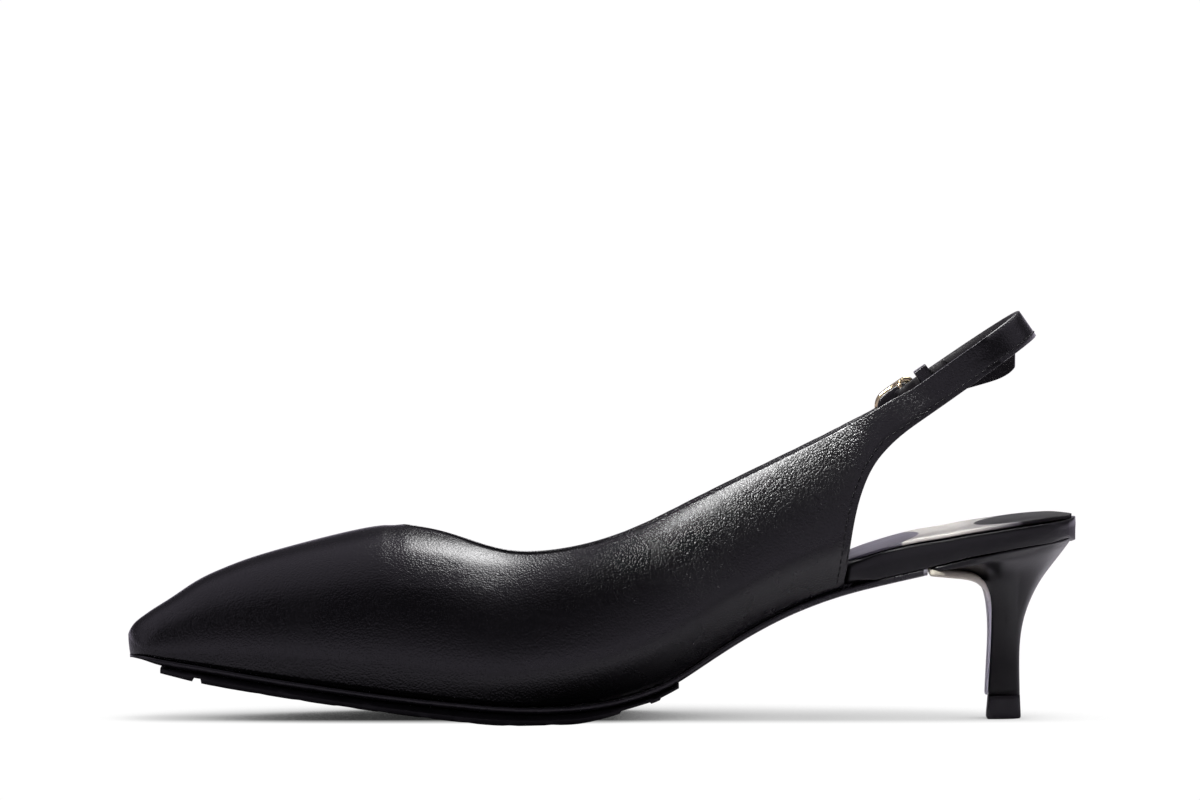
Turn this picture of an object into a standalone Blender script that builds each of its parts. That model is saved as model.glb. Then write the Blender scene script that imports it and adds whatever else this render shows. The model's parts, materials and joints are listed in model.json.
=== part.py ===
"""Slingback pump for the right foot: pointed toe, kitten heel, strap round the heel, outer buckle.

Metres, +Z up. The toe points to -X and the heel to +X. The inner side of the foot is -Y, the outer side +Y.
Inside the functions x runs from 0 at the toe tip to LENGTH at the back of the seat.
"""

import math

import bmesh
import bpy
from mathutils import Vector

# Driving sizes of the last and of the shoe
LENGTH = 0.258
BALL_WIDTH = 0.077
INSTEP_RISE = 0.0441
HEEL_LIFT = 0.0499
TOE_ROUND = 0.009
SEAT_ROUND = 0.027
BULGE_HEIGHT = 0.014

# Thicknesses and clearances
UPPER_WALL = 0.0016
GAP = 0.0003
OUTSOLE_THICKNESS = 0.0022
SOLE_LEDGE = 0.0005
TREAD_BASE = 0.0012
TREAD_INSET = 0.0009
INSOLE_THICKNESS = 0.0022
SOCK_THICKNESS = 0.0006
HEEL_PAD_RISE = 0.0005
HEEL_PAD_EDGE = 0.012
SOCK_INSET = 0.0011
SOCK_EDGE = 0.0007
RIM_STEP = 0.0006
RIM_EDGE = 0.0018
BOARD_EDGE = 0.0006
SOLE_EDGE = 0.0007
WAIST_BELLY = 0.0003
THIN_END = 0.0004

# Lugs of the forepart rubber
LUG_COUNT = 11
LUG_GROOVE = 0.0024
LUG_WALL = 0.00012
LUG_DEPTH = 0.0013
LUG_EDGE = 0.0003
RIB_DEPTH = 0.0005
BORDER_WIDTH = 0.0030

# Sling strap, tab and buckle
STRAP_WIDTH = 0.0084
STRAP_HALF = 0.0248
TAB_NARROWING = 0.0060
BUCKLE_SIDE_HALF = 0.0235
BAR_RADIUS = 0.0005
LOOP_ROOM = 0.0003
RAIL_WIDTH = 0.0018
RAIL_DEPTH = 0.0014
FRONT_CORNER = 0.0040
BACK_CORNER = 0.0016
BAR_LEG_BEND = 0.0008
PRONG_RADIUS = 0.00055
PRONG_SLOT = 0.0019
LOOP_SLOT_AHEAD, LOOP_SLOT_BEHIND = 0.0034, 0.0024
LOOP_SLOT_DEPTH = 0.0021
TAB_HOLE_AHEAD, TAB_HOLE_BEHIND = 0.0046, 0.0010
LOOP_LEAD = 0.0035
LOOP_CLOSING = 0.0020
RETURN_LEAD = 0.0045
PRONG_RISE_RUNS = (0.0022, 0.0030, 0.0042)
PRONG_RISES = (0.0006, 0.0002, 0.0013)
PRONG_TIP_DROP = 0.0001
PRONG_OVERHANG = 0.0002
KEEPER_WIDTH = 0.0040
KEEPER_WALL = 0.0010
KEEPER_ROOM = 0.0002
KEEPER_BELOW, KEEPER_ABOVE = 0.0009, 0.0004

# Heel parts
TOP_LIFT_HEIGHT = 0.0062
LIFT_SHOULDER = 0.0012
LIFT_BEVEL = 0.0003
FLAP_THICKNESS = 0.0006
HEEL_SIDE_POINTS = 12

# Mesh density of the upper
ARCH_STEPS = 12
VAMP_STATIONS = 20
QUARTER_STATIONS = 20

# Shapes of the arch over the foot and of the strap's bend round the heel
ARCH_UP = 2.1
ARCH_OUT = 2.25
BEND_ALONG = 2.3
BEND_OUT = 2.1


def table(names, *rows):
    """Columns by name, from a heading and one row for each section."""
    return {name: [row[i] for row in rows] for i, name in enumerate(names.split())}


# Half widths: shares of BALL_WIDTH. at: share of LENGTH from the toe tip.
# sole_* is at the sole's edge, body_* at the widest place above it.
PLAN = table(
    "at sole_inner sole_outer body_inner body_outer",
    (0.000, 0.104, 0.097, 0.104, 0.097),
    (0.031, 0.156, 0.149, 0.158, 0.152),
    (0.078, 0.231, 0.223, 0.236, 0.229),
    (0.155, 0.342, 0.345, 0.355, 0.358),
    (0.233, 0.429, 0.449, 0.447, 0.468),
    (0.295, 0.468, 0.504, 0.488, 0.522),
    (0.357, 0.465, 0.532, 0.488, 0.548),
    (0.411, 0.426, 0.527, 0.460, 0.545),
    (0.473, 0.358, 0.494, 0.416, 0.519),
    (0.543, 0.279, 0.444, 0.380, 0.484),
    (0.620, 0.235, 0.397, 0.362, 0.448),
    (0.698, 0.232, 0.364, 0.355, 0.412),
    (0.775, 0.268, 0.345, 0.355, 0.380),
    (0.837, 0.305, 0.340, 0.355, 0.370),
    (0.899, 0.327, 0.335, 0.355, 0.370),
    (1.000, 0.331, 0.335, 0.355, 0.370),
)

# Top of the outsole, and of the heel behind it: shares of HEEL_LIFT
SOLE_TOP = table(
    "at height",
    (0.000, 0.353),
    (0.016, 0.353),
    (0.035, 0.338),
    (0.066, 0.317),
    (0.109, 0.285),
    (0.147, 0.257),
    (0.202, 0.220),
    (0.271, 0.176),
    (0.349, 0.132),
    (0.403, 0.106),
    (0.434, 0.099),
    (0.465, 0.101),
    (0.496, 0.116),
    (0.539, 0.165),
    (0.566, 0.217),
    (0.585, 0.272),
    (0.624, 0.405),
    (0.659, 0.517),
    (0.698, 0.621),
    (0.736, 0.700),
    (0.760, 0.741),
    (0.795, 0.788),
    (0.839, 0.843),
    (0.884, 0.904),
    (0.911, 0.932),
    (0.950, 0.968),
    (1.000, 1.000),
)

# Underside of the lugs: shares of HEEL_LIFT. It lies on the floor at the ball.
TREAD = table(
    "at height",
    (0.034, 0.262),
    (0.075, 0.212),
    (0.128, 0.172),
    (0.181, 0.134),
    (0.234, 0.100),
    (0.286, 0.067),
    (0.339, 0.032),
    (0.380, 0.009),
    (0.405, 0.000),
    (0.440, 0.000),
    (0.462, 0.000),
    (0.498, 0.020),
    (0.519, 0.052),
    (0.581, 0.160),
)

# Crest of the last and cut edge of the collar: rise over the ramp, shares of INSTEP_RISE
CREST = table(
    "at rise",
    (0.000, 0.505),
    (0.002, 0.548),
    (0.006, 0.588),
    (0.011, 0.616),
    (0.022, 0.664),
    (0.043, 0.739),
    (0.075, 0.860),
    (0.096, 0.912),
    (0.128, 0.976),
    (0.181, 1.047),
    (0.234, 1.099),
    (0.265, 1.117),
    (0.287, 1.108),
    (0.310, 1.078),
    (0.350, 1.004),
    (0.392, 0.918),
    (0.413, 0.896),
    (0.434, 0.893),
    (0.455, 0.898),
    (0.498, 0.933),
    (0.540, 1.002),
    (0.583, 1.098),
    (0.625, 1.190),
    (0.667, 1.280),
    (0.709, 1.385),
    (0.752, 1.530),
    (0.790, 1.690),
    (1.000, 2.200),
)
COLLAR = table(
    "at rise drop_outer",
    (0.287, 1.108, 0.000),
    (0.308, 1.076, 0.004),
    (0.329, 1.038, 0.008),
    (0.350, 0.984, 0.012),
    (0.371, 0.926, 0.016),
    (0.392, 0.873, 0.019),
    (0.413, 0.838, 0.021),
    (0.434, 0.822, 0.023),
    (0.455, 0.814, 0.024),
    (0.476, 0.814, 0.024),
    (0.498, 0.824, 0.025),
    (0.540, 0.867, 0.026),
    (0.583, 0.938, 0.026),
    (0.625, 1.005, 0.027),
    (0.667, 1.064, 0.028),
    (0.709, 1.120, 0.030),
    (0.752, 1.179, 0.036),
    (0.790, 1.244, 0.050),
)
THROAT_AT = 0.287
QUARTER_END_AT = 0.737

# Back of each quarter, where the wall narrows into the strap. low_* follows the cut edge from the
# sole up, high_* the collar: places as shares of LENGTH, rises over the ramp of INSTEP_RISE.
QUARTER_BACK = table(
    "low_at low_rise high_at high_rise",
    (0.7535, 0.203, 0.7530, 1.181),
    (0.7581, 0.370, 0.7636, 1.198),
    (0.7632, 0.563, 0.7736, 1.212),
    (0.7698, 0.726, 0.7845, 1.229),
    (0.7802, 0.862, 0.7965, 1.250),
    (0.7919, 0.946, 0.8085, 1.270),
)

# The strap's lower edge from its start on the quarter to the back of the heel
STRAP_LOW_START = (0.8031, 1.007)
STRAP_LOW_END = (0.9585, 1.328)
BEND_START = 0.23
# Rows that lean from the quarter's slant to the strap's square: shares of the strap's run
LEAN_ROWS = table("low_run high_run", (0.062, 0.248), (0.207, 0.331), (0.362, 0.435))
# Free end of the tab behind the keeper: runs as shares of the strap's run, heights of STRAP_WIDTH
TAIL_ROWS = table(
    "low_run low_across high_run high_across",
    (0.455, -0.160, 0.507, 0.790),
    (0.580, -0.400, 0.630, 0.550),
    (0.720, -0.680, 0.772, 0.270),
    (0.803, -0.620, 0.886, 0.065),
)
TAIL_INWARD_SLOPE = 0.14
BAR_RUN = 0.211
BUCKLE_RUN = (0.014, 0.294)
KEEPER_RUN = 0.318
RETURN_END_RUN = 0.50

# Heel from the seat down: places as shares of LENGTH, heights of HEEL_LIFT, half width of BALL_WIDTH.
# like_seat is 1 where the outline is the seat's own and 0 where it is a plain rounded form.
HEEL = table(
    "front front_height back back_height half like_seat",
    (0.8430, 0.8430, 0.9970, 1.000, 0.333, 1.0),
    (0.8455, 0.8210, 0.9940, 0.972, 0.318, 0.8),
    (0.8640, 0.8090, 0.9890, 0.936, 0.288, 0.5),
    (0.8820, 0.8000, 0.9812, 0.882, 0.240, 0.2),
    (0.8950, 0.7790, 0.9728, 0.826, 0.195, 0.0),
    (0.9045, 0.7180, 0.9628, 0.760, 0.152, 0.0),
    (0.9093, 0.6310, 0.9535, 0.667, 0.112, 0.0),
    (0.9109, 0.5410, 0.9453, 0.561, 0.086, 0.0),
    (0.9109, 0.4310, 0.9407, 0.431, 0.070, 0.0),
    (0.9093, 0.2910, 0.9407, 0.291, 0.065, 0.0),
    (0.9078, 0.1310, 0.9415, 0.131, 0.067, 0.0),
)
TIP_FRONT_AT = 0.9060
TIP_BACK_AT = 0.9425
TIP_HALF = 0.069
FLAP_MARGIN = 0.0003


def curve(columns, name, along="at"):
    """A smooth function through one column that never overshoots its rows."""
    xs, ys = columns[along], columns[name]
    steps = [(ys[i + 1] - ys[i]) / (xs[i + 1] - xs[i]) for i in range(len(xs) - 1)]
    slopes = [steps[0]]
    for before, after in zip(steps, steps[1:]):
        slopes.append(0.0 if before * after <= 0 else 2 * before * after / (before + after))
    slopes.append(steps[-1])

    def value(at):
        i = min(max(sum(x <= at for x in xs) - 1, 0), len(xs) - 2)
        width = xs[i + 1] - xs[i]
        t = min(max((at - xs[i]) / width, 0.0), 1.0)
        return (
            ys[i] * (1 + 2 * t) * (1 - t) ** 2
            + slopes[i] * width * t * (1 - t) ** 2
            + ys[i + 1] * t * t * (3 - 2 * t)
            - slopes[i + 1] * width * t * t * (1 - t)
        )

    return value


INNER, OUTER = -1, 1
SOLE_HALF = {INNER: curve(PLAN, "sole_inner"), OUTER: curve(PLAN, "sole_outer")}
BODY_HALF = {INNER: curve(PLAN, "body_inner"), OUTER: curve(PLAN, "body_outer")}
sole_share = curve(SOLE_TOP, "height")
tread_share = curve(TREAD, "height")
crest_share = curve(CREST, "rise")
collar_share = curve(COLLAR, "rise")
collar_drop = curve(COLLAR, "drop_outer")


def ramp(x):
    """A plain rise from toe to heel, which the instep's heights are counted from."""
    return HEEL_LIFT * (x / LENGTH) ** 2


def end_round(x):
    """1 along the foot, falling to 0 in a round toe tip and a round seat."""
    toe = max(0.0, 1 - x / TOE_ROUND)
    seat = max(0.0, 1 - (LENGTH - x) / SEAT_ROUND)
    return math.sqrt(1 - toe**2) * (1 - min(seat, 1.0) ** 2.2) ** (1 / 2.2)


def sole_half(x, side):
    return BALL_WIDTH * SOLE_HALF[side](x / LENGTH) * end_round(x)


def body_half(x, side):
    return BALL_WIDTH * BODY_HALF[side](x / LENGTH) * end_round(x)


def sole_top(x):
    return HEEL_LIFT * sole_share(x / LENGTH)


def tread_bottom(x):
    return HEEL_LIFT * tread_share(x / LENGTH)


def crest(x):
    return ramp(x) + INSTEP_RISE * crest_share(x / LENGTH)


def collar(x, side):
    drop = collar_drop(x / LENGTH) if side == OUTER else 0.0
    return ramp(x) + INSTEP_RISE * (collar_share(x / LENGTH) - drop)


def edge_point(at, rise):
    """A place in the side view, from shares of LENGTH and of INSTEP_RISE."""
    x = at * LENGTH
    return Vector((x, ramp(x) + rise * INSTEP_RISE))


def wall_half(x, z, side):
    """Half width of the upper's outside at a place in the side view."""
    base = sole_top(x) + GAP
    up = min(max((z - base) / (crest(x) - base), 0.0), 1.0)
    out = (1 - up**ARCH_UP) ** (1 / ARCH_OUT)
    bulge = min(BULGE_HEIGHT, 0.4 * (crest(x) - base))
    tuck = (body_half(x, side) - sole_half(x, side)) * max(0.0, 1 - (z - base) / bulge) ** 2
    return body_half(x, side) * out - tuck


def arch_height(x, turn):
    """Height on the arch at x, for a turn from 0 at the sole to 1 at the crest."""
    base = sole_top(x) + GAP
    return base + (crest(x) - base) * math.sin(turn * math.pi / 2) ** (2 / ARCH_UP)


def collar_turn(x, side):
    base = sole_top(x) + GAP
    up = (collar(x, side) - base) / (crest(x) - base)
    return math.asin(min(up, 1.0) ** (ARCH_UP / 2)) / (math.pi / 2)


# The strap's own frame in the side view: run along it, across from its lower edge to its upper one
STRAP_START = edge_point(*STRAP_LOW_START)
STRAP_END = edge_point(*STRAP_LOW_END)
STRAP_RUN = (STRAP_END - STRAP_START).length
STRAP_DIRECTION = (STRAP_END - STRAP_START).normalized()
STRAP_ACROSS = Vector((-STRAP_DIRECTION.y, STRAP_DIRECTION.x))


def strap_place(run, across):
    return STRAP_START + STRAP_DIRECTION * run + STRAP_ACROSS * across


def bend(run, half):
    """Half width of the strap's bend at a run along it."""
    turned = max(0.0, (run - BEND_START * STRAP_RUN) / ((1 - BEND_START) * STRAP_RUN))
    return half * (1 - min(turned, 1.0) ** BEND_ALONG) ** (1 / BEND_OUT)


def smoothstep(value):
    t = min(max(value, 0.0), 1.0)
    return t * t * (3 - 2 * t)


def material(name, colour, roughness, metallic=0.0):
    made = bpy.data.materials.new(name)
    made.use_nodes = True
    shader = made.node_tree.nodes["Principled BSDF"]
    shader.inputs["Base Color"].default_value = (*colour, 1.0)
    shader.inputs["Roughness"].default_value = roughness
    shader.inputs["Metallic"].default_value = metallic
    made.diffuse_color = (*colour, 1.0)
    return made


def mesh_object(name, points, faces, surface, sharp_angle=40):
    mesh = bpy.data.meshes.new(name)
    mesh.from_pydata([tuple(p) for p in points], [], faces)
    mesh.validate()
    if surface is not None:
        mesh.materials.append(surface)
    mesh.polygons.foreach_set("use_smooth", [True] * len(mesh.polygons))
    mesh.set_sharp_from_angle(angle=math.radians(sharp_angle))
    made = bpy.data.objects.new(name, mesh)
    bpy.context.scene.collection.objects.link(made)
    return made


def face_outwards(made):
    form = bmesh.new()
    form.from_mesh(made.data)
    bmesh.ops.recalc_face_normals(form, faces=form.faces)
    form.to_mesh(made.data)
    form.free()


def loft(name, rings, surface, ruled_ends=False, sharp_angle=40):
    """A closed solid through closed rings of equal length."""
    count = len(rings[0])
    points = [point for ring in rings for point in ring]
    faces = []
    for i in range(len(rings) - 1):
        for k in range(count):
            after = (k + 1) % count
            ring, ahead = i * count, (i + 1) * count
            faces.append((ring + k, ring + after, ahead + after, ahead + k))
    for start in (0, (len(rings) - 1) * count):
        if not ruled_ends:
            faces.append([start + k for k in range(count)])
            continue
        half = (count - 1) // 2
        for k in range(half - 1):
            faces.append([start + n for n in (k, k + 1, count - 2 - k, count - 1 - k)])
        faces.append([start + n for n in (half - 1, half, half + 1)])
    made = mesh_object(name, points, faces, surface, sharp_angle)
    face_outwards(made)
    return made


def add_boolean(made, cutter, operation):
    modifier = made.modifiers.new(operation.title(), "BOOLEAN")
    modifier.operation = operation
    modifier.object = cutter
    cutter.hide_render = True
    cutter.display_type = "WIRE"


# Upper


def section_line(x, side):
    """Points up the wall at x from the sole to the collar, or to the crest ahead of the throat."""
    top = 1.0 if x <= THROAT_AT * LENGTH + 1e-9 else collar_turn(x, side)
    line = []
    for j in range(ARCH_STEPS + 1):
        z = arch_height(x, top * j / ARCH_STEPS)
        line.append(Vector((x, side * wall_half(x, z, side), z)))
    return line


def leaning_line(low, high, shares, side, half_at):
    """Points from low to high in the side view, set out sideways by half_at(place)."""
    line = []
    for share in shares:
        place = low.lerp(high, share)
        line.append(Vector((place.x, side * half_at(place), place.y)))
    return line


def quarter_and_lean(side, strap_half):
    """Lines from the last upright section over the back of the quarter to the square strap."""
    last = section_line(QUARTER_END_AT * LENGTH, side)
    shares = [(p.z - last[0].z) / (last[-1].z - last[0].z) for p in last]
    backs = list(zip(*QUARTER_BACK.values()))
    leans = list(zip(*LEAN_ROWS.values()))
    rows = []
    for low_at, low_rise, high_at, high_rise in backs:
        drop = collar_drop(high_at) if side == OUTER else 0.0
        low = edge_point(low_at, low_rise)
        if not rows:
            low.y = sole_top(low.x) + GAP
        rows.append((low, edge_point(high_at, high_rise - drop)))
    for low_run, high_run in leans:
        low = strap_place(low_run * STRAP_RUN, 0)
        narrowing = TAB_NARROWING * (1 - len(rows) / (len(backs) + 2)) if side == OUTER else 0.0
        rows.append((low, strap_place(high_run * STRAP_RUN, STRAP_WIDTH - narrowing)))
    lines = []
    for i, (low, high) in enumerate(rows):
        weight = smoothstep((i + 1) / (len(backs) + 1))

        def half_at(place, weight=weight):
            run = (place - STRAP_START).dot(STRAP_DIRECTION)
            on_body = wall_half(place.x, place.y, side)
            return on_body * (1 - weight) + strap_half(run) * weight

        lines.append(leaning_line(low, high, shares, side, half_at))
    return lines, shares


def strap_line(run, y, shares, low_across=0.0, high_across=STRAP_WIDTH, high_run=None):
    low = strap_place(run, low_across)
    high = strap_place(run if high_run is None else high_run, high_across)
    return [Vector((low.lerp(high, s).x, y, low.lerp(high, s).y)) for s in shares]


def inner_strap_half(run):
    return bend(run, STRAP_HALF)


def outer_strap_half(run):
    """The tab's outside: on the sling strap with a gap as far as the keeper, then straight on."""
    keeper_end = KEEPER_RUN * STRAP_RUN + KEEPER_WIDTH
    lying = bend(min(run, keeper_end), BUCKLE_SIDE_HALF) + GAP + UPPER_WALL
    return lying - TAIL_INWARD_SLOPE * max(0.0, run - keeper_end)


def bar_centre_half():
    return BUCKLE_SIDE_HALF - UPPER_WALL - LOOP_ROOM - BAR_RADIUS


def sling_lines(shares):
    """Lines of the sling strap from the inner quarter round the heel to the loop on the bar."""
    bend_run = (1 - BEND_START) * STRAP_RUN
    lines = []
    for degrees in (33, 43, 53, 62, 70, 77, 84, 90, 96, 103, 110, 118, 127, 137, 147, 156):
        angle = math.radians(degrees)
        half = STRAP_HALF if degrees < 90 else BUCKLE_SIDE_HALF
        run = BEND_START * STRAP_RUN + bend_run * math.sin(angle) ** (2 / BEND_ALONG)
        y = -math.copysign(half * abs(math.cos(angle)) ** (2 / BEND_OUT), math.cos(angle))
        lines.append(strap_line(run, y, shares))
    bar_run = BAR_RUN * STRAP_RUN
    lead = bar_run + LOOP_LEAD
    lines.append(strap_line(lead, bend(lead, BUCKLE_SIDE_HALF), shares))
    radius = BUCKLE_SIDE_HALF - bar_centre_half()
    for degrees in range(90, 271, 30):
        angle = math.radians(degrees)
        run = bar_run + radius * math.cos(angle)
        lines.append(strap_line(run, bar_centre_half() + radius * math.sin(angle), shares))
    doubled = 2 * UPPER_WALL + GAP
    lines.append(strap_line(bar_run + LOOP_CLOSING, bar_centre_half() - radius + GAP, shares))
    keeper_middle = KEEPER_RUN * STRAP_RUN + KEEPER_WIDTH / 2
    for run in (bar_run + RETURN_LEAD, keeper_middle, RETURN_END_RUN * STRAP_RUN):
        lines.append(strap_line(run, bend(run, BUCKLE_SIDE_HALF) - doubled, shares))
    return lines


def tail_lines(shares):
    lines = []
    for low_run, low_across, high_run, high_across in zip(*TAIL_ROWS.values()):
        low = strap_place(low_run * STRAP_RUN, low_across * STRAP_WIDTH)
        high = strap_place(high_run * STRAP_RUN, high_across * STRAP_WIDTH)
        half = outer_strap_half((low_run + high_run) / 2 * STRAP_RUN)
        lines.append([Vector((low.lerp(high, s).x, half, low.lerp(high, s).y)) for s in shares])
    return lines


def upper(surface):
    """The upper's outside as one open sheet, made a wall by Solidify, then slotted for the prong."""
    throat = THROAT_AT * LENGTH
    quarter_end = QUARTER_END_AT * LENGTH
    points, faces = [], []

    def add(line):
        start = len(points)
        points.extend(line)
        return list(range(start, start + len(line)))

    def join(before, after):
        for j in range(len(before) - 1):
            corners = (before[j], after[j], after[j + 1], before[j + 1])
            faces.append(tuple(dict.fromkeys(corners)))

    tip = section_line(0.0, INNER)
    tip_ids = add([Vector((0.0, 0.0, p.z)) for p in tip])
    previous = tip_ids + tip_ids[-2::-1]
    for i in range(1, VAMP_STATIONS + 1):
        x = throat * (i / VAMP_STATIONS) ** 1.6
        inner_line, outer_line = section_line(x, INNER), section_line(x, OUTER)
        current = add(inner_line + outer_line[-2::-1])
        join(previous, current)
        previous = current
    inner_ids = previous[: ARCH_STEPS + 1]
    outer_ids = previous[ARCH_STEPS:]
    for i in range(1, QUARTER_STATIONS + 1):
        x = throat + (quarter_end - throat) * (i / QUARTER_STATIONS) ** 1.5
        inner_next = add(section_line(x, INNER))
        join(inner_ids, inner_next)
        outer_next = add(section_line(x, OUTER)[::-1])
        join(outer_ids, outer_next)
        inner_ids, outer_ids = inner_next, outer_next
    inner_lines, shares = quarter_and_lean(INNER, inner_strap_half)
    for line in inner_lines + sling_lines(shares):
        inner_next = add(line)
        join(inner_ids, inner_next)
        inner_ids = inner_next
    outer_lines, shares = quarter_and_lean(OUTER, outer_strap_half)
    for line in outer_lines + tail_lines(shares):
        outer_next = add(line[::-1])
        join(outer_ids, outer_next)
        outer_ids = outer_next
    made = mesh_object("upper", points, faces, surface, sharp_angle=60)
    wall = made.modifiers.new("Wall", "SOLIDIFY")
    wall.thickness = UPPER_WALL
    wall.offset = -1.0
    wall.use_even_offset = True
    wall.use_rim = True
    for cutter in prong_cutters():
        add_boolean(made, cutter, "DIFFERENCE")
    return made


def strap_box(name, runs, halves, across, surface):
    """A box square to the strap, from ranges along it, out from the foot and across it."""
    rings = []
    for run in runs:
        ring = []
        for i, j in ((0, 0), (1, 0), (1, 1), (0, 1)):
            y, place = halves[i], strap_place(run, across[j])
            ring.append(Vector((place.x, y, place.y)))
        rings.append(ring)
    return loft(name, rings, surface)


def prong_cutters():
    middle = STRAP_WIDTH / 2
    across = (middle - PRONG_SLOT / 2, middle + PRONG_SLOT / 2)
    bar_run = BAR_RUN * STRAP_RUN
    centre = bar_centre_half()
    loop_runs = (bar_run - LOOP_SLOT_AHEAD, bar_run + LOOP_SLOT_BEHIND)
    loop_depths = (centre - LOOP_SLOT_DEPTH, BUCKLE_SIDE_HALF + GAP / 2)
    loop = strap_box("loop_slot", loop_runs, loop_depths, across, None)
    hole_runs = (bar_run - TAB_HOLE_AHEAD, bar_run - TAB_HOLE_BEHIND)
    tab_inside = BUCKLE_SIDE_HALF + GAP / 2
    hole = strap_box("tab_hole", hole_runs, (tab_inside, tab_inside + 2 * UPPER_WALL), across, None)
    return loop, hole


# Plates: insole, sock lining, outsole, rubber


def stations(start, end, count, ends_dense=True):
    """Places from start to end, closer together near both ends."""
    shares = [i / (count - 1) for i in range(count)]
    if ends_dense:
        shares = [(1 - math.cos(math.pi * s)) / 2 for s in shares]
    return [start + (end - start) * s for s in shares]


def plate_ring(x, half_of, top, bottom, edge, belly=0.0):
    """A cross section with a rounded edge: half_of(x, side) wide, belly lower in the middle."""
    inner, outer = -half_of(x, INNER), half_of(x, OUTER)
    thick = top - bottom
    drop = min(edge, 0.45 * thick)
    inset = min(edge, 0.3 * (outer - inner))
    return [
        Vector((x, inner + inset, top)),
        Vector((x, inner + 0.25 * inset, top - 0.3 * drop)),
        Vector((x, inner, top - drop)),
        Vector((x, inner, bottom + drop)),
        Vector((x, inner + inset, bottom)),
        Vector((x, (inner * 0.6 + outer * 0.4), bottom - belly)),
        Vector((x, (inner * 0.4 + outer * 0.6), bottom - belly)),
        Vector((x, outer - inset, bottom)),
        Vector((x, outer, bottom + drop)),
        Vector((x, outer, top - drop)),
        Vector((x, outer - 0.25 * inset, top - 0.3 * drop)),
        Vector((x, outer - inset, top)),
    ]


RIM_START = 0.7597 * LENGTH
RIM = table(
    "at thick",
    (0.760, 0.134),
    (0.802, 0.150),
    (0.822, 0.149),
    (0.868, 0.129),
    (0.911, 0.118),
    (1.000, 0.104),
)
rim_share = curve(RIM, "thick")
WEDGE_START = 0.62 * LENGTH
PAD_START = 0.79 * LENGTH
PLATE_INSET = 1.3 * UPPER_WALL + 2 * GAP
INSOLE_START = 0.027 * LENGTH
SOCK_START, SOCK_END = 0.046 * LENGTH, LENGTH - SOCK_INSET
SEAT_ENDS = (0.0020, 0.0010, 0.0004)


def insole_top(x):
    if x >= RIM_START:
        return sole_top(x) + HEEL_LIFT * rim_share(x / LENGTH)
    rise = smoothstep((x - WEDGE_START) / (RIM_START - WEDGE_START))
    rim = HEEL_LIFT * rim_share(RIM_START / LENGTH)
    return sole_top(x) + GAP + INSOLE_THICKNESS * (1 - rise) + rim * rise - GAP * rise


def insole_half(x, side):
    step = smoothstep((x - RIM_START) / RIM_STEP)
    return sole_half(x, side) - PLATE_INSET * (1 - step)


def insole(surface):
    places = stations(INSOLE_START, RIM_START, 26) + [RIM_START + RIM_STEP / 2, RIM_START + RIM_STEP]
    places += stations(RIM_START + RIM_STEP, LENGTH - RIM_STEP / 12, 26, False)[1:]
    places += [LENGTH - step for step in SEAT_ENDS]
    rings = []
    for x in sorted(places):
        edge = RIM_EDGE if x > RIM_START else BOARD_EDGE
        rings.append(plate_ring(x, insole_half, insole_top(x), sole_top(x) + GAP, edge))
    return loft("insole", rings, surface)


def sock_half(x, side):
    """Inside the upper along the foot, then a margin inside the rim round the seat."""
    past = smoothstep((x - RIM_START) / (4 * SOCK_INSET))
    back = (1 - max(0.0, 1 - (SOCK_END - x) / SEAT_ROUND) ** 2.2) ** (1 / 2.2)
    front = end_round(x) if x < LENGTH / 2 else 1.0
    plain = BALL_WIDTH * SOLE_HALF[side](x / LENGTH) * front * back
    inside = PLATE_INSET + 0.3 * SOCK_INSET
    return max(plain - inside * (1 - past) - SOCK_INSET * past, THIN_END)


def sock_lining(surface):
    rings = []
    for x in stations(SOCK_START, RIM_START, 34) + stations(RIM_START, SOCK_END, 30)[1:]:
        pad_end = smoothstep((SOCK_END - x) / (HEEL_PAD_EDGE / 2))
        pad = smoothstep((x - PAD_START) / HEEL_PAD_EDGE) * pad_end
        bottom = insole_top(x) + GAP
        top = bottom + SOCK_THICKNESS + HEEL_PAD_RISE * pad
        rings.append(plate_ring(x, sock_half, top, bottom, SOCK_EDGE))
    return loft("sock_lining", rings, surface)


OUTSOLE_END = 0.8415 * LENGTH
TIP_PLACES = (0.0002, 0.0006, 0.0013, 0.0024, 0.0040, 0.0060)
LEDGE_START = 0.002
TIP_THICKNESS = 0.42


def outsole_half(x, side):
    fade = 1 - smoothstep((x / LENGTH - 0.55) / 0.10)
    return sole_half(x, side) + SOLE_LEDGE * smoothstep(x / LEDGE_START) * fade


def outsole_thickness(x):
    """The sole's edge is skived thin at the toe tip."""
    return OUTSOLE_THICKNESS * (TIP_THICKNESS + (1 - TIP_THICKNESS) * smoothstep(x / TOE_ROUND))


def outsole(surface):
    rings = []
    for x in [*TIP_PLACES, *stations(TOE_ROUND, OUTSOLE_END, 46, False)]:
        waist = smoothstep((x / LENGTH - 0.58) / 0.08)
        bottom = sole_top(x) - outsole_thickness(x)
        rings.append(plate_ring(x, outsole_half, sole_top(x), bottom, SOLE_EDGE, WAIST_BELLY * waist))
    return loft("outsole", rings, surface)


RUBBER_START = 0.034 * LENGTH
LUGS_END = 0.519 * LENGTH
RIB_START, RIB_END = 0.551 * LENGTH, 0.561 * LENGTH
RUBBER_END = 0.581 * LENGTH


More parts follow.
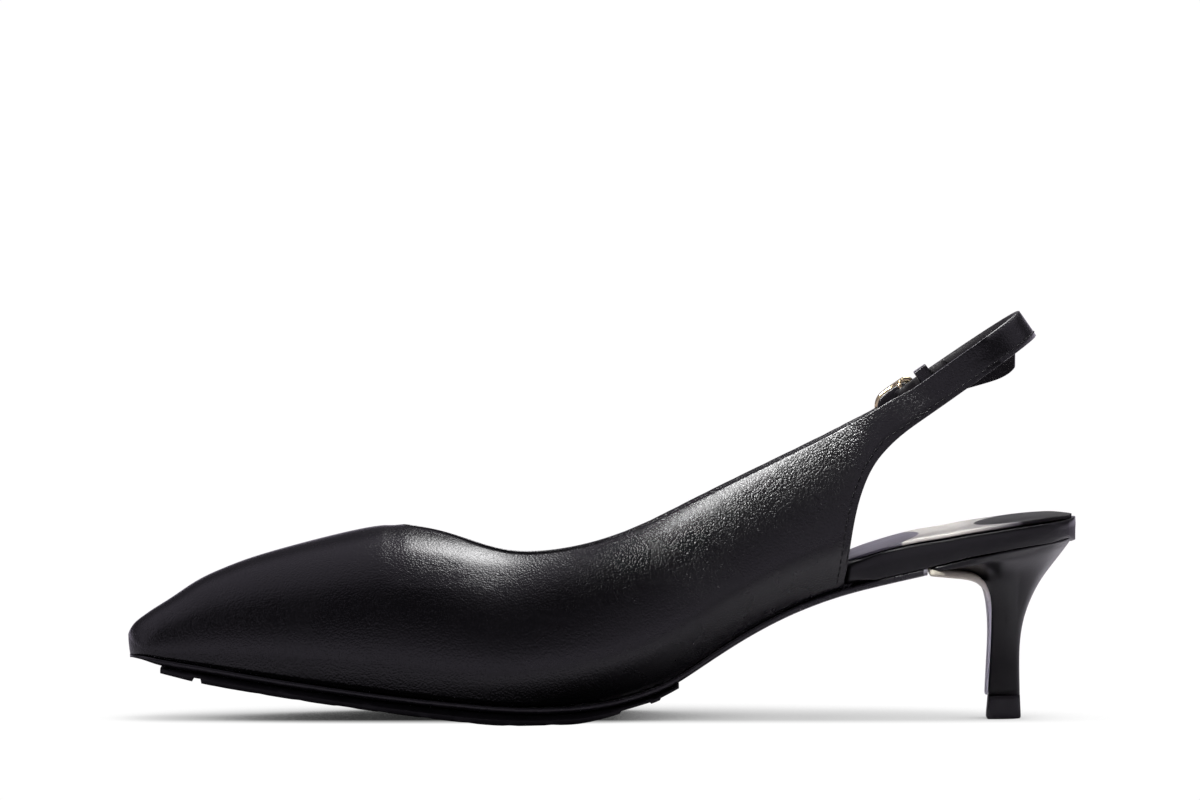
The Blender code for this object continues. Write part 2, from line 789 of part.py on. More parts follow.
def rubber_rows():
    """Places along the rubber and whether each is at a lug's face, from its toe end to its waist end."""
    pitch = (LUGS_END - RUBBER_START) / LUG_COUNT
    rows = []
    for n in range(LUG_COUNT):
        start = RUBBER_START + n * pitch
        end = start + pitch - (LUG_GROOVE if n < LUG_COUNT - 1 else 0.0)
        rows += [(start, True), ((start + end) / 2, True), (end, True), (end + LUG_WALL, False)]
        if n < LUG_COUNT - 1:
            rows.append((start + pitch - LUG_WALL, False))
    rows += [(RIB_START - LUG_WALL, False), (RIB_START, True), (RIB_END, True)]
    rows += [(RIB_END + LUG_WALL, False), (RUBBER_END, False)]
    return rows


def rubber_ring(x, top, border, floor):
    """A section whose border stays at the lugs' depth while the floor between lugs is higher."""
    inner, outer = (side * (outsole_half(x, side) - TREAD_INSET) for side in (INNER, OUTER))
    edge = LUG_EDGE
    step_in = BORDER_WIDTH + LUG_WALL
    return [
        Vector((x, inner, top)),
        Vector((x, inner, border + edge)),
        Vector((x, inner + edge, border)),
        Vector((x, inner + BORDER_WIDTH, border)),
        Vector((x, inner + step_in, floor)),
        Vector((x, outer - step_in, floor)),
        Vector((x, outer - BORDER_WIDTH, border)),
        Vector((x, outer - edge, border)),
        Vector((x, outer, border + edge)),
        Vector((x, outer, top)),
    ]


def forepart_rubber(surface):
    rings = []
    for number, (x, at_lug) in enumerate(rubber_rows()):
        top = sole_top(x) - outsole_thickness(x) - GAP
        under_base = top - TREAD_BASE
        if x <= LUGS_END:
            face = min(tread_bottom(x), under_base - LUG_EDGE)
            floor = face if at_lug else min(face + LUG_DEPTH, under_base)
            open_groove = 3 <= number <= 4
            border = floor if open_groove else face
        else:
            border = floor = under_base - (RIB_DEPTH if at_lug else 0.0)
        rings.append(rubber_ring(x, top, border, floor))
    return loft("forepart_rubber", rings, surface)


# Heel, top lift and breast flap


def heel_ring(front, back, half, like_seat, shrink=0.0):
    """From one front corner round the back to the other; front and back are in the side view."""
    ring = []
    turns = [math.pi / 2 * k / HEEL_SIDE_POINTS for k in range(HEEL_SIDE_POINTS + 1)]
    power = 2.4 + 0.4 * like_seat
    for side in (INNER, OUTER):
        line = []
        for turn in turns:
            along = math.sin(turn) ** (2 / power)
            place = front.lerp(back, along)
            plain = half * math.cos(turn) ** (2 / power)
            seat = sole_half(place.x, side) if along < 1 else 0.0
            y = plain * (1 - like_seat) + min(seat, plain * 1.05 + 0.0002) * like_seat - shrink
            line.append(Vector((place.x, side * max(y, 0.0), place.y)))
        ring += line if side == INNER else line[-2::-1]
    return ring


def heel_rows():
    for front, front_height, back, back_height, half, like_seat in zip(*HEEL.values()):
        yield (
            Vector((front * LENGTH, front_height * HEEL_LIFT)),
            Vector((back * LENGTH, back_height * HEEL_LIFT)),
            half * BALL_WIDTH,
            like_seat,
        )


def heel(surface):
    rings = [heel_ring(*row) for row in heel_rows()]
    for point in rings[0]:
        point.z = sole_top(point.x)
    return loft("heel", rings, surface, ruled_ends=True)


def top_lift(surface):
    front, back, half, _ = list(heel_rows())[-1]
    rings = []
    for height, share in ((TOP_LIFT_HEIGHT, 0.0), (LIFT_SHOULDER, 1.0), (LIFT_BEVEL, 1.0), (0.0, 1.0)):
        low_front = Vector((front.x + (TIP_FRONT_AT * LENGTH - front.x) * share, height))
        low_back = Vector((back.x + (TIP_BACK_AT * LENGTH - back.x) * share, height))
        low_half = half + (TIP_HALF * BALL_WIDTH - half) * share
        bevel = LIFT_BEVEL if height == 0.0 else 0.0
        inward = Vector((bevel, 0.0))
        rings.append(heel_ring(low_front + inward, low_back - inward, low_half - bevel, 0.0))
    return loft("top_lift", rings, surface, ruled_ends=True)


def breast_flap(surface):
    """A thin strip in front of the heel's breast, from the outsole's end to the top lift."""
    rows = list(heel_rows())[1:]
    fronts = [row[0] for row in rows]
    rings = []
    for i, (front, _, half, _) in enumerate(rows):
        before, after = fronts[max(i - 1, 0)], fronts[min(i + 1, len(fronts) - 1)]
        down = (after - before).normalized()
        outward = Vector((down.y, -down.x))
        near = front + outward * GAP
        far = front + outward * (GAP + FLAP_THICKNESS)
        width = min(half, sole_half(front.x, INNER)) - FLAP_MARGIN
        corners = ((near, -width), (near, width), (far, width), (far, -width))
        rings.append([Vector((place.x, y, place.y)) for place, y in corners])
    return loft("breast_flap", rings, surface)


# Buckle and keeper


def swept(name, path, radius, surface, closed=False, sides=8, flat=1.0):
    """A rod along a path of places; flat squeezes it sideways, out from the foot."""
    rings = []
    count = len(path)
    for i, place in enumerate(path):
        before = path[(i - 1) % count] if closed or i else place
        after = path[(i + 1) % count] if closed or i < count - 1 else place
        ahead = (after - before).normalized()
        sideways = Vector((0.0, 1.0, 0.0))
        if abs(ahead.dot(sideways)) > 0.95:
            sideways = Vector((STRAP_DIRECTION.x, 0.0, STRAP_DIRECTION.y))
        first = ahead.cross(sideways).normalized()
        second = first.cross(ahead).normalized()
        ring = []
        for k in range(sides):
            angle = 2 * math.pi * (k + 0.5) / sides
            offset = first * math.cos(angle) + second * flat * math.sin(angle)
            ring.append(place + offset * radius)
        rings.append(ring)
    points = [point for ring in rings for point in ring]
    faces = []
    for i in range(count if closed else count - 1):
        for k in range(sides):
            corners = ((i, k), (i, k + 1), (i + 1, k + 1), (i + 1, k))
            faces.append([(r % count) * sides + c % sides for r, c in corners])
    if not closed:
        faces.append(list(range(sides)))
        faces.append([(count - 1) * sides + k for k in range(sides)])
    made = mesh_object(name, points, faces, surface)
    face_outwards(made)
    return made


def on_strap(run, across, half):
    place = strap_place(run, across)
    return Vector((place.x, half, place.y))


def buckle_frame(surface):
    """A flat frame with a round front end, and a dropped centre bar on two legs."""
    front, back = (share * STRAP_RUN for share in BUCKLE_RUN)
    middle = STRAP_WIDTH / 2
    reach = STRAP_WIDTH / 2 + RAIL_WIDTH / 2
    half = outer_strap_half(0.0) + GAP + RAIL_DEPTH / 2
    front_round, back_round = FRONT_CORNER, BACK_CORNER
    inset = RAIL_WIDTH / 2
    corners = (
        (front + inset + front_round, middle + reach - front_round, front_round, 90),
        (front + inset + front_round, middle - reach + front_round, front_round, 180),
        (back - inset - back_round, middle - reach + back_round, back_round, 270),
        (back - inset - back_round, middle + reach - back_round, back_round, 360),
    )
    path = []
    for run, across, radius, start in corners:
        for step in range(6):
            angle = math.radians(start + 18 * step)
            along, up = radius * math.cos(angle), radius * math.sin(angle)
            path.append(on_strap(run + along, across + up, half))
    frame = swept("buckle_frame", path, RAIL_WIDTH / 2, surface, closed=True, flat=RAIL_DEPTH / RAIL_WIDTH)
    bar_run = BAR_RUN * STRAP_RUN
    centre = bar_centre_half()
    leg, other_leg = middle + reach, middle - reach
    turn = BAR_LEG_BEND
    bar_path = [
        on_strap(bar_run, leg, half),
        on_strap(bar_run, leg, centre + turn),
        on_strap(bar_run, leg - turn / 4, centre + turn / 4),
        on_strap(bar_run, leg - turn, centre),
        on_strap(bar_run, other_leg + turn, centre),
        on_strap(bar_run, other_leg + turn / 4, centre + turn / 4),
        on_strap(bar_run, other_leg, centre + turn),
        on_strap(bar_run, other_leg, half),
    ]
    add_boolean(frame, swept("bar_rod", bar_path, BAR_RADIUS, surface), "UNION")
    return frame


def buckle_prong(surface):
    """A bent rod through the tab's hole to the front rail, with an eye round the bar."""
    middle = STRAP_WIDTH / 2
    bar_run = BAR_RUN * STRAP_RUN
    centre = bar_centre_half()
    eye_radius = BAR_RADIUS + GAP + PRONG_RADIUS
    eye_path = []
    for step in range(16):
        angle = 2 * math.pi * step / 16
        along, out = eye_radius * math.cos(angle), eye_radius * math.sin(angle)
        eye_path.append(on_strap(bar_run + along, middle, centre + out))
    rail_face = outer_strap_half(0.0) + GAP + RAIL_DEPTH + GAP + PRONG_RADIUS
    front = BUCKLE_RUN[0] * STRAP_RUN
    path = [
        on_strap(bar_run - 0.7 * eye_radius, middle, centre + 0.7 * eye_radius),
        on_strap(bar_run - PRONG_RISE_RUNS[0], middle, BUCKLE_SIDE_HALF + PRONG_RISES[0]),
        on_strap(bar_run - PRONG_RISE_RUNS[1], middle, outer_strap_half(0.0) + PRONG_RISES[1]),
        on_strap(bar_run - PRONG_RISE_RUNS[2], middle, outer_strap_half(0.0) + PRONG_RISES[2]),
        on_strap(front + RAIL_WIDTH, middle, rail_face),
        on_strap(front - PRONG_OVERHANG, middle, rail_face - PRONG_TIP_DROP),
    ]
    prong = swept("buckle_prong", path, PRONG_RADIUS, surface)
    add_boolean(prong, eye_ring("prong_eye", eye_path, surface), "UNION")
    return prong


def eye_ring(name, path, surface):
    """A closed ring of round section whose plane is square to the bar."""
    centre = sum(path, Vector()) / len(path)
    along_bar = Vector((STRAP_ACROSS.x, 0.0, STRAP_ACROSS.y))
    sides = 8
    points, faces = [], []
    for place in path:
        outward = (place - centre).normalized()
        for k in range(sides):
            angle = 2 * math.pi * k / sides
            offset = outward * math.cos(angle) + along_bar * math.sin(angle)
            points.append(place + offset * PRONG_RADIUS * 0.9)
    for i in range(len(path)):
        for k in range(sides):
            corners = ((i, k), (i, k + 1), (i + 1, k + 1), (i + 1, k))
            faces.append([(r % len(path)) * sides + c % sides for r, c in corners])
    made = mesh_object(name, points, faces, surface)
    face_outwards(made)
    return made


def strap_keeper(surface):
    """A loop of leather round the doubled strap and the tab, behind the buckle."""
    start = KEEPER_RUN * STRAP_RUN
    end = start + KEEPER_WIDTH
    inside = bend(end, BUCKLE_SIDE_HALF) - 2 * UPPER_WALL - 2 * GAP - KEEPER_ROOM
    outside = outer_strap_half(0.0) + GAP
    low, high = -KEEPER_BELOW, STRAP_WIDTH + KEEPER_ABOVE
    wall = KEEPER_WALL
    rings = []
    for offset in (0.0, wall):
        for run in (start, end):
            ring = []
            corners = ((inside, low), (outside, low), (outside, high), (inside, high))
            for y, across in corners:
                y += offset if y == outside else -offset
                across += offset if across == high else -offset
                ring.append(on_strap(run, across, y))
            rings.append(ring)
    order = [rings[0], rings[1], rings[3], rings[2]]
    points = [point for ring in order for point in ring]
    faces = []
    for i in range(4):
        for k in range(4):
            after, nxt = (k + 1) % 4, (i + 1) % 4
            faces.append((i * 4 + k, i * 4 + after, nxt * 4 + after, nxt * 4 + k))
    made = mesh_object("strap_keeper", points, faces, surface)
    face_outwards(made)
    return made


def centre_on_floor(pieces):
    """Moves everything so that the origin is under the middle of the whole shoe, on the floor."""
    corners = [vertex.co for piece in pieces for vertex in piece.data.vertices]
    middle_x = (min(c.x for c in corners) + max(c.x for c in corners)) / 2
    middle_y = (min(c.y for c in corners) + max(c.y for c in corners)) / 2
    for piece in list(bpy.data.objects):
        for vertex in piece.data.vertices:
            vertex.co.x -= middle_x
            vertex.co.y -= middle_y


def main():
    for old in list(bpy.data.objects):
        bpy.data.objects.remove(old)
    leather = material("black_leather", (0.017, 0.016, 0.019), 0.38)
    lining = material("sock_leather", (0.030, 0.028, 0.030), 0.55)
    sole_black = material("sole_black", (0.012, 0.012, 0.013), 0.30)
    rubber = material("black_rubber", (0.018, 0.018, 0.018), 0.75)
    pale = material("pale_sole_edge", (0.74, 0.70, 0.62), 0.60)
    gold = material("pale_gold", (0.86, 0.70, 0.40), 0.25, 1.0)
    pieces = [
        upper(leather),
        insole(leather),
        sock_lining(lining),
        outsole(sole_black),
        forepart_rubber(rubber),
        breast_flap(pale),
        heel(leather),
        top_lift(rubber),
        buckle_frame(gold),
        buckle_prong(gold),
        strap_keeper(leather),
    ]
    centre_on_floor(pieces)


main()
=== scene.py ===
"""Looks of the slingback pump: black calf, wrapped kitten heel, gold buckle, on a pale studio floor.

Metres, in the CAD frame: the toe points to -X, the inner side of the foot is -Y, the floor is at 0.
"""

import json
import math

import bmesh
import bpy
from mathutils import Matrix, Vector
from mathutils.bvhtree import BVHTree
from mathutils.kdtree import KDTree

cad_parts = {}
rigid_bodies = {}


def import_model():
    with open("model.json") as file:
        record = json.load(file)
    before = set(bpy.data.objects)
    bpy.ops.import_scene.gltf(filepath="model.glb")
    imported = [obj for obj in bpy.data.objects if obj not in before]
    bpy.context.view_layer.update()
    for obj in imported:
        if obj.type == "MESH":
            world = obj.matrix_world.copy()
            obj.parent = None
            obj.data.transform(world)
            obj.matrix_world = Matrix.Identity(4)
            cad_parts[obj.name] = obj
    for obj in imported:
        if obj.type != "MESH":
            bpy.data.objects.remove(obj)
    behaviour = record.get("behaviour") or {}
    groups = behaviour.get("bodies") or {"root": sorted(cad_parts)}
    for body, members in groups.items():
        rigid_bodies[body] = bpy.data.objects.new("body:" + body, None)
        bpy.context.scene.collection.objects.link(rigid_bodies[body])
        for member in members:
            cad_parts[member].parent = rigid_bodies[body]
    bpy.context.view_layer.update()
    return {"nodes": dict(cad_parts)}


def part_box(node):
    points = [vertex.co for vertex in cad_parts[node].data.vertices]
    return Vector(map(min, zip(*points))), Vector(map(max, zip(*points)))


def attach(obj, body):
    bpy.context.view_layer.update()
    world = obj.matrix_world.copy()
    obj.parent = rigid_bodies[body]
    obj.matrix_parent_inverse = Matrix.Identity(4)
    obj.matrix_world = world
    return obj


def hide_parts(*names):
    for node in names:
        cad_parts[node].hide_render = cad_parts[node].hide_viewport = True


MM = 0.001

# Frame of the photograph: its width at the shoe, its middle, and the angle it looks down by
FRAME_WIDTH = 327.2 * MM
FRAME_MIDDLE = Vector((-0.6 * MM, 0.0, 86.7 * MM))
LOOK_DOWN = math.radians(2.3)
CAMERA_DISTANCE = 3.0
SENSOR_WIDTH_MM = 36.0

# The sling strap in the side view: start and direction of its lower edge, run to the back of the heel
STRAP_START = Vector((78.2 * MM, 76.6 * MM))
STRAP_SLOPE = math.radians(34.7)
STRAP_RUN = 48.8 * MM
STRAP_MIDDLE_Y = -2.3 * MM
STRAP_HALF = 24.8 * MM
BUCKLE_SIDE_HALF = 23.5 * MM
BEND_START = 0.23
BEND_ALONG, BEND_OUT = 2.3, 2.1
STRAP_ALONG = Vector((math.cos(STRAP_SLOPE), math.sin(STRAP_SLOPE)))
STRAP_UP = Vector((-math.sin(STRAP_SLOPE), math.cos(STRAP_SLOPE)))

# Cut edge at the back of each quarter in the side view, from the sole up to the strap
QUARTER_EDGE = [
    (65.4, 37.2),
    (66.6, 45.0),
    (67.9, 53.9),
    (69.6, 61.6),
    (72.3, 68.5),
    (75.3, 73.0),
    (78.2, 76.6),
]

# Light of the mirrored room: degrees from the floor in front, over the top, to the floor behind,
# with the light there
ROOM_BANDS = (
    (-180, 0.60),
    (-150, 0.20),
    (-60, 0.16),
    (-32, 0.26),
    (-14, 0.40),
    (10, 0.38),
    (26, 0.12),
    (40, 0.04),
    (62, 0.04),
    (82, 0.28),
    (125, 0.28),
    (142, 0.05),
    (168, 0.05),
    (178, 0.60),
)

# Floor's contact shadow: openness of the place, and the light seen there
CONTACT_SHADOW = (
    (0.05, 0.014),
    (0.07, 0.09),
    (0.11, 0.22),
    (0.17, 0.40),
    (0.30, 0.54),
    (0.48, 0.66),
    (0.66, 0.80),
    (0.82, 1.02),
)

# Stitching
STITCH_PITCH = 2.3 * MM
STITCH_LENGTH = 1.75 * MM
THREAD_RADIUS = 0.19 * MM
STITCH_MARGIN = 1.35 * MM
CHANNEL_DEPTH = 0.12 * MM
CHANNEL_WIDTH = 0.42 * MM

# Round of the covered rim's corners in the CAD, the tighter rounds of the leather folded over it,
# its skirt over the heel's top, and how far its lower front end is drawn forward to the quarter
RIM_ROUND = 1.8 * MM
RIM_FOLD_LOW = 0.45 * MM
RIM_FOLD_HIGH = 1.0 * MM
RIM_SKIRT = 1.35 * MM
RIM_START = 66 * MM
RIM_BACK = 121 * MM
RIM_NOSE = 1.2 * MM
RIM_NOSE_END = 70 * MM
RIM_NOSE_TOP = 50 * MM
FLAT_SHARE = 0.12

# How deep the pale strip shows from the side behind its CAD thickness, and its reach to the sole's end
STRIP_DEPTH = 1.3 * MM
STRIP_REACH = 0.85 * MM
STRIP_FOOT = 8 * MM
STRIP_TAPER = 26 * MM
STRIP_WING = 34 * MM
STRIP_FRONT = 93 * MM

# The heel's foot and the lift's top meet in a fine line
HEEL_FOOT_DROP = 0.18 * MM
LIFT_TOP_RISE = 0.22 * MM
HEEL_FOOT_TOP = 9 * MM
LIFT_SHOULDER = 4.5 * MM

# Gold bars over their CAD size, and the turned leather behind the buckle: runs along the strap and
# places across it
BAR_SWELL = 0.22 * MM
TAB_TURN_RUN = (1.6 * MM, 13.6 * MM)
TAB_TURN_ACROSS = (5.2 * MM, 9.5 * MM)

# Front edge of the pale half sock along X, and the suede pad that is let into it
HALF_SOCK_EDGE = 86 * MM
PAD_MIDDLE = (115 * MM, -2 * MM)
PAD_REACH = (14 * MM, 23 * MM)
SOCK_EDGE_DROP = 0.42 * MM

# Nose of the toe in the side view: middle and reach of its swell, then how far its foot tucks in
# and drops to the sole
NOSE_HEIGHT = 22.6 * MM
NOSE_REACH = 6.0 * MM
NOSE_SWELL = 0.45 * MM
NOSE_TUCK = 0.35 * MM
NOSE_DROP = 0.35 * MM
NOSE_BEHIND = -121 * MM
NOSE_FADE = 6 * MM
NOSE_FOOT = 19.2 * MM
NOSE_FOOT_FADE = 1.2 * MM

# Parts whose flow is evened out: the upper round its throat, and the heel's wing above its stem
THROAT_ZONE = ((-58 * MM, -40 * MM, 38 * MM), (-20 * MM, 40 * MM, 80 * MM))
HEEL_NECK_ZONE = ((87 * MM, -30 * MM, 27 * MM), (113 * MM, 30 * MM, 44 * MM))


# Selecting and finishing


def clamped(share):
    return max(0.0, min(1.0, share))


def select_only(piece):
    for other in bpy.context.view_layer.objects:
        other.select_set(False)
    piece.select_set(True)
    bpy.context.view_layer.objects.active = piece


def link(name, mesh):
    piece = bpy.data.objects.new(name, mesh)
    bpy.context.scene.collection.objects.link(piece)
    return piece


def apply_modifiers(piece):
    select_only(piece)
    for modifier in list(piece.modifiers):
        bpy.ops.object.modifier_apply(modifier=modifier.name)


def merged_copy(node, name):
    """A copy of a CAD node with its corners merged and its triangles joined to quads."""
    piece = link(name, frame["nodes"][node].data.copy())
    piece.data.materials.clear()
    select_only(piece)
    bpy.ops.object.mode_set(mode="EDIT")
    bpy.ops.mesh.select_all(action="SELECT")
    bpy.ops.mesh.remove_doubles(threshold=0.002 * MM)
    bpy.ops.mesh.tris_convert_to_quads(face_threshold=math.radians(50), shape_threshold=math.radians(70))
    bpy.ops.mesh.normals_make_consistent(inside=False)
    bpy.ops.object.mode_set(mode="OBJECT")
    return piece


def hold_edges(piece, angle, crease):
    """Keeps the edges that turn by more than an angle from rounding away when the piece is refined."""
    form = bmesh.new()
    form.from_mesh(piece.data)
    layer = form.edges.layers.float.get("crease_edge") or form.edges.layers.float.new("crease_edge")
    for edge in form.edges:
        if len(edge.link_faces) == 2 and edge.calc_face_angle(0.0) > math.radians(angle):
            edge[layer] = crease
    form.to_mesh(piece.data)
    form.free()


def refine(piece, levels, smooth_angle=55):
    finer = piece.modifiers.new("Finer", "SUBSURF")
    finer.levels = finer.render_levels = levels
    apply_modifiers(piece)
    bpy.ops.object.shade_smooth_by_angle(angle=math.radians(smooth_angle))


def even_out(piece, rounds, low=(-1.0, -1.0, -1.0), high=(1.0, 1.0, 1.0), held_angle=28):
    """Evens out the flow of a refined skin between two corners. Sharp edges stay where they are."""
    form = bmesh.new()
    form.from_mesh(piece.data)
    free = []
    for vertex in form.verts:
        if any(place < least or place > most for place, least, most in zip(vertex.co, low, high)):
            continue
        turns = [edge.calc_face_angle(0.0) for edge in vertex.link_edges if len(edge.link_faces) == 2]
        if len(turns) == len(vertex.link_edges) and max(turns) < math.radians(held_angle):
            free.append(vertex)
    for _ in range(rounds):
        bmesh.ops.smooth_vert(form, verts=free, factor=0.5, use_axis_x=True, use_axis_y=True, use_axis_z=True)
    form.to_mesh(piece.data)
    form.free()


def soften_corners(piece, width, segments=3, angle=35):
    rounding = piece.modifiers.new("Soft corners", "BEVEL")
    rounding.width = width
    rounding.segments = segments
    rounding.limit_method = "ANGLE"
    rounding.angle_limit = math.radians(angle)
    rounding.harden_normals = False
    apply_modifiers(piece)
    bpy.ops.object.shade_smooth_by_angle(angle=math.radians(50))


def stands_for(piece, node, slot, *materials):
    for material in materials:
        piece.data.materials.append(material)
    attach(piece, "root")
    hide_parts(node)
    return piece


def added(piece, material):
    piece.data.materials.append(material)
    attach(piece, "root")
    return piece


# Material parts


def group(name, inputs, outputs):
    """An empty shader group with named sockets, and its two end nodes."""
    tree = bpy.data.node_groups.new(name, "ShaderNodeTree")
    for socket, value in inputs.items():
        kind = "NodeSocketVector" if value is None else "NodeSocketFloat"
        made = tree.interface.new_socket(socket, in_out="INPUT", socket_type=kind)
        if value is not None:
            made.default_value = value
    for socket in outputs:
        tree.interface.new_socket(socket, in_out="OUTPUT", socket_type="NodeSocketFloat")
    return tree, tree.nodes.new("NodeGroupInput"), tree.nodes.new("NodeGroupOutput")


def node(tree, kind, values=None, **settings):
    made = tree.nodes.new(kind)
    for key, value in settings.items():
        setattr(made, key, value)
    for key, value in (values or {}).items():
        made.inputs[key].default_value = value
    return made


def wire(tree, *pairs):
    for source, target in pairs:
        tree.links.new(source, target)


def ramp(tree, source, *stops):
    """A ramp of colours, from pairs of place and colour."""
    made = tree.nodes.new("ShaderNodeValToRGB")
    elements = made.color_ramp.elements
    while len(elements) < len(stops):
        elements.new(0.5)
    for element, (place, colour) in zip(elements, stops):
        element.position = place
        element.color = (*colour, 1.0) if isinstance(colour, tuple) else (colour, colour, colour, 1.0)
    wire(tree, (source, made.inputs["Fac"]))
    return made.outputs["Color"]


def math_node(tree, operation, first, second, third=0.5):
    made = node(tree, "ShaderNodeMath", operation=operation)
    for value, socket in zip((first, second, third), made.inputs):
        if isinstance(value, (int, float)):
            socket.default_value = value
        else:
            wire(tree, (value, socket))
    return made.outputs[0]


def leather_grain():
    """Pebbled grain with pores between the pebbles, and a broad uneven tone from the hide."""
    tree, start, end = group("leather_grain", {"Place": None, "Pebbles": 1500.0}, ["Height", "Tone", "Pores"])
    bend = node(tree, "ShaderNodeTexNoise", {"Scale": 420.0, "Detail": 2.0})
    pushed = node(tree, "ShaderNodeVectorMath", operation="MULTIPLY_ADD")
    pushed.inputs[1].default_value = (0.0011, 0.0011, 0.0011)
    pebbles = node(tree, "ShaderNodeTexVoronoi", feature="SMOOTH_F1")
    pebbles.inputs["Smoothness"].default_value = 0.35
    fine = node(tree, "ShaderNodeTexNoise", {"Scale": 5200.0, "Detail": 2.0, "Roughness": 0.6})
    broad = node(tree, "ShaderNodeTexNoise", {"Scale": 55.0, "Detail": 4.0, "Roughness": 0.55})
    wire(
        tree,
        (start.outputs["Place"], bend.inputs["Vector"]),
        (start.outputs["Place"], fine.inputs["Vector"]),
        (start.outputs["Place"], broad.inputs["Vector"]),
        (bend.outputs["Color"], pushed.inputs[0]),
        (start.outputs["Place"], pushed.inputs[2]),
        (pushed.outputs[0], pebbles.inputs["Vector"]),
        (start.outputs["Pebbles"], pebbles.inputs["Scale"]),
    )
    domes = math_node(tree, "SUBTRACT", 1.0, pebbles.outputs["Distance"])
    small = math_node(tree, "MULTIPLY", fine.outputs["Fac"], 0.22)
    height = math_node(tree, "ADD", domes, small)
    pores = ramp(tree, pebbles.outputs["Distance"], (0.52, 0.0), (0.78, 1.0))
    wire(
        tree,
        (height, end.inputs["Height"]),
        (broad.outputs["Fac"], end.inputs["Tone"]),
        (pores, end.inputs["Pores"]),
    )
    return tree


def hair_scratches():
    """Fine scratches along one way and a few across it."""
    tree, start, end = group("hair_scratches", {"Place": None, "Fineness": 900.0}, ["Mask", "Height"])
    lines = []
    for turn, stretch in ((0.5, 0.05), (2.1, 0.08)):
        mapping = node(tree, "ShaderNodeMapping")
        mapping.inputs["Rotation"].default_value = (0.2, turn, 0.1)
        mapping.inputs["Scale"].default_value = (stretch, 1.0, 1.0)
        noise = node(tree, "ShaderNodeTexNoise", {"Detail": 3.0, "Roughness": 0.7})
        wire(
            tree,
            (start.outputs["Place"], mapping.inputs["Vector"]),
            (mapping.outputs["Vector"], noise.inputs["Vector"]),
            (start.outputs["Fineness"], noise.inputs["Scale"]),
        )
        lines.append(ramp(tree, noise.outputs["Fac"], (0.60, 0.0), (0.74, 1.0)))
    both = math_node(tree, "MAXIMUM", lines[0], lines[1])
    wire(tree, (both, end.inputs["Mask"]), (math_node(tree, "SUBTRACT", 1.0, both), end.inputs["Height"]))
    return tree


def settled_dust():
    """Small pale specks and a soft film, thicker in some places than in others."""
    tree, start, end = group("settled_dust", {"Place": None, "Specks": 2600.0}, ["Mask"])
    specks = node(tree, "ShaderNodeTexNoise", {"Detail": 2.0})
    film = node(tree, "ShaderNodeTexNoise", {"Scale": 90.0, "Detail": 4.0})
    wire(
        tree,
        (start.outputs["Place"], specks.inputs["Vector"]),
        (start.outputs["Place"], film.inputs["Vector"]),
        (start.outputs["Specks"], specks.inputs["Scale"]),
    )
    grains = ramp(tree, specks.outputs["Fac"], (0.62, 0.0), (0.72, 1.0))
    cover = ramp(tree, film.outputs["Fac"], (0.42, 0.0), (0.75, 1.0))
    wire(tree, (math_node(tree, "MULTIPLY", grains, cover), end.inputs["Mask"]))
    return tree


def pressed_creases():
    """Fine short creases of bent leather round one place: they fade out over the reach."""
    tree, start, end = group("pressed_creases", {"Place": None, "Middle": None, "Reach": 0.008}, ["Height"])
    off = node(tree, "ShaderNodeVectorMath", operation="SUBTRACT")
    span = node(tree, "ShaderNodeVectorMath", operation="LENGTH")
    turned = node(tree, "ShaderNodeMapping")
    turned.inputs["Rotation"].default_value = (0.0, math.radians(35), 0.0)
    turned.inputs["Scale"].default_value = (1.0, 0.5, 3.4)
    lines = node(tree, "ShaderNodeTexNoise", {"Scale": 520.0, "Detail": 3.0, "Roughness": 0.55})
    wire(
        tree,
        (start.outputs["Place"], off.inputs[0]),
        (start.outputs["Middle"], off.inputs[1]),
        (off.outputs[0], span.inputs[0]),
        (start.outputs["Place"], turned.inputs["Vector"]),
        (turned.outputs["Vector"], lines.inputs["Vector"]),
    )
    share = math_node(tree, "DIVIDE", span.outputs["Value"], start.outputs["Reach"])
    near = ramp(tree, share, (0.25, 1.0), (1.0, 0.0))
    ridged = ramp(tree, lines.outputs["Fac"], (0.36, 0.0), (0.50, 1.0), (0.64, 0.0))
    wire(tree, (math_node(tree, "MULTIPLY", near, ridged), end.inputs["Height"]))
    return tree


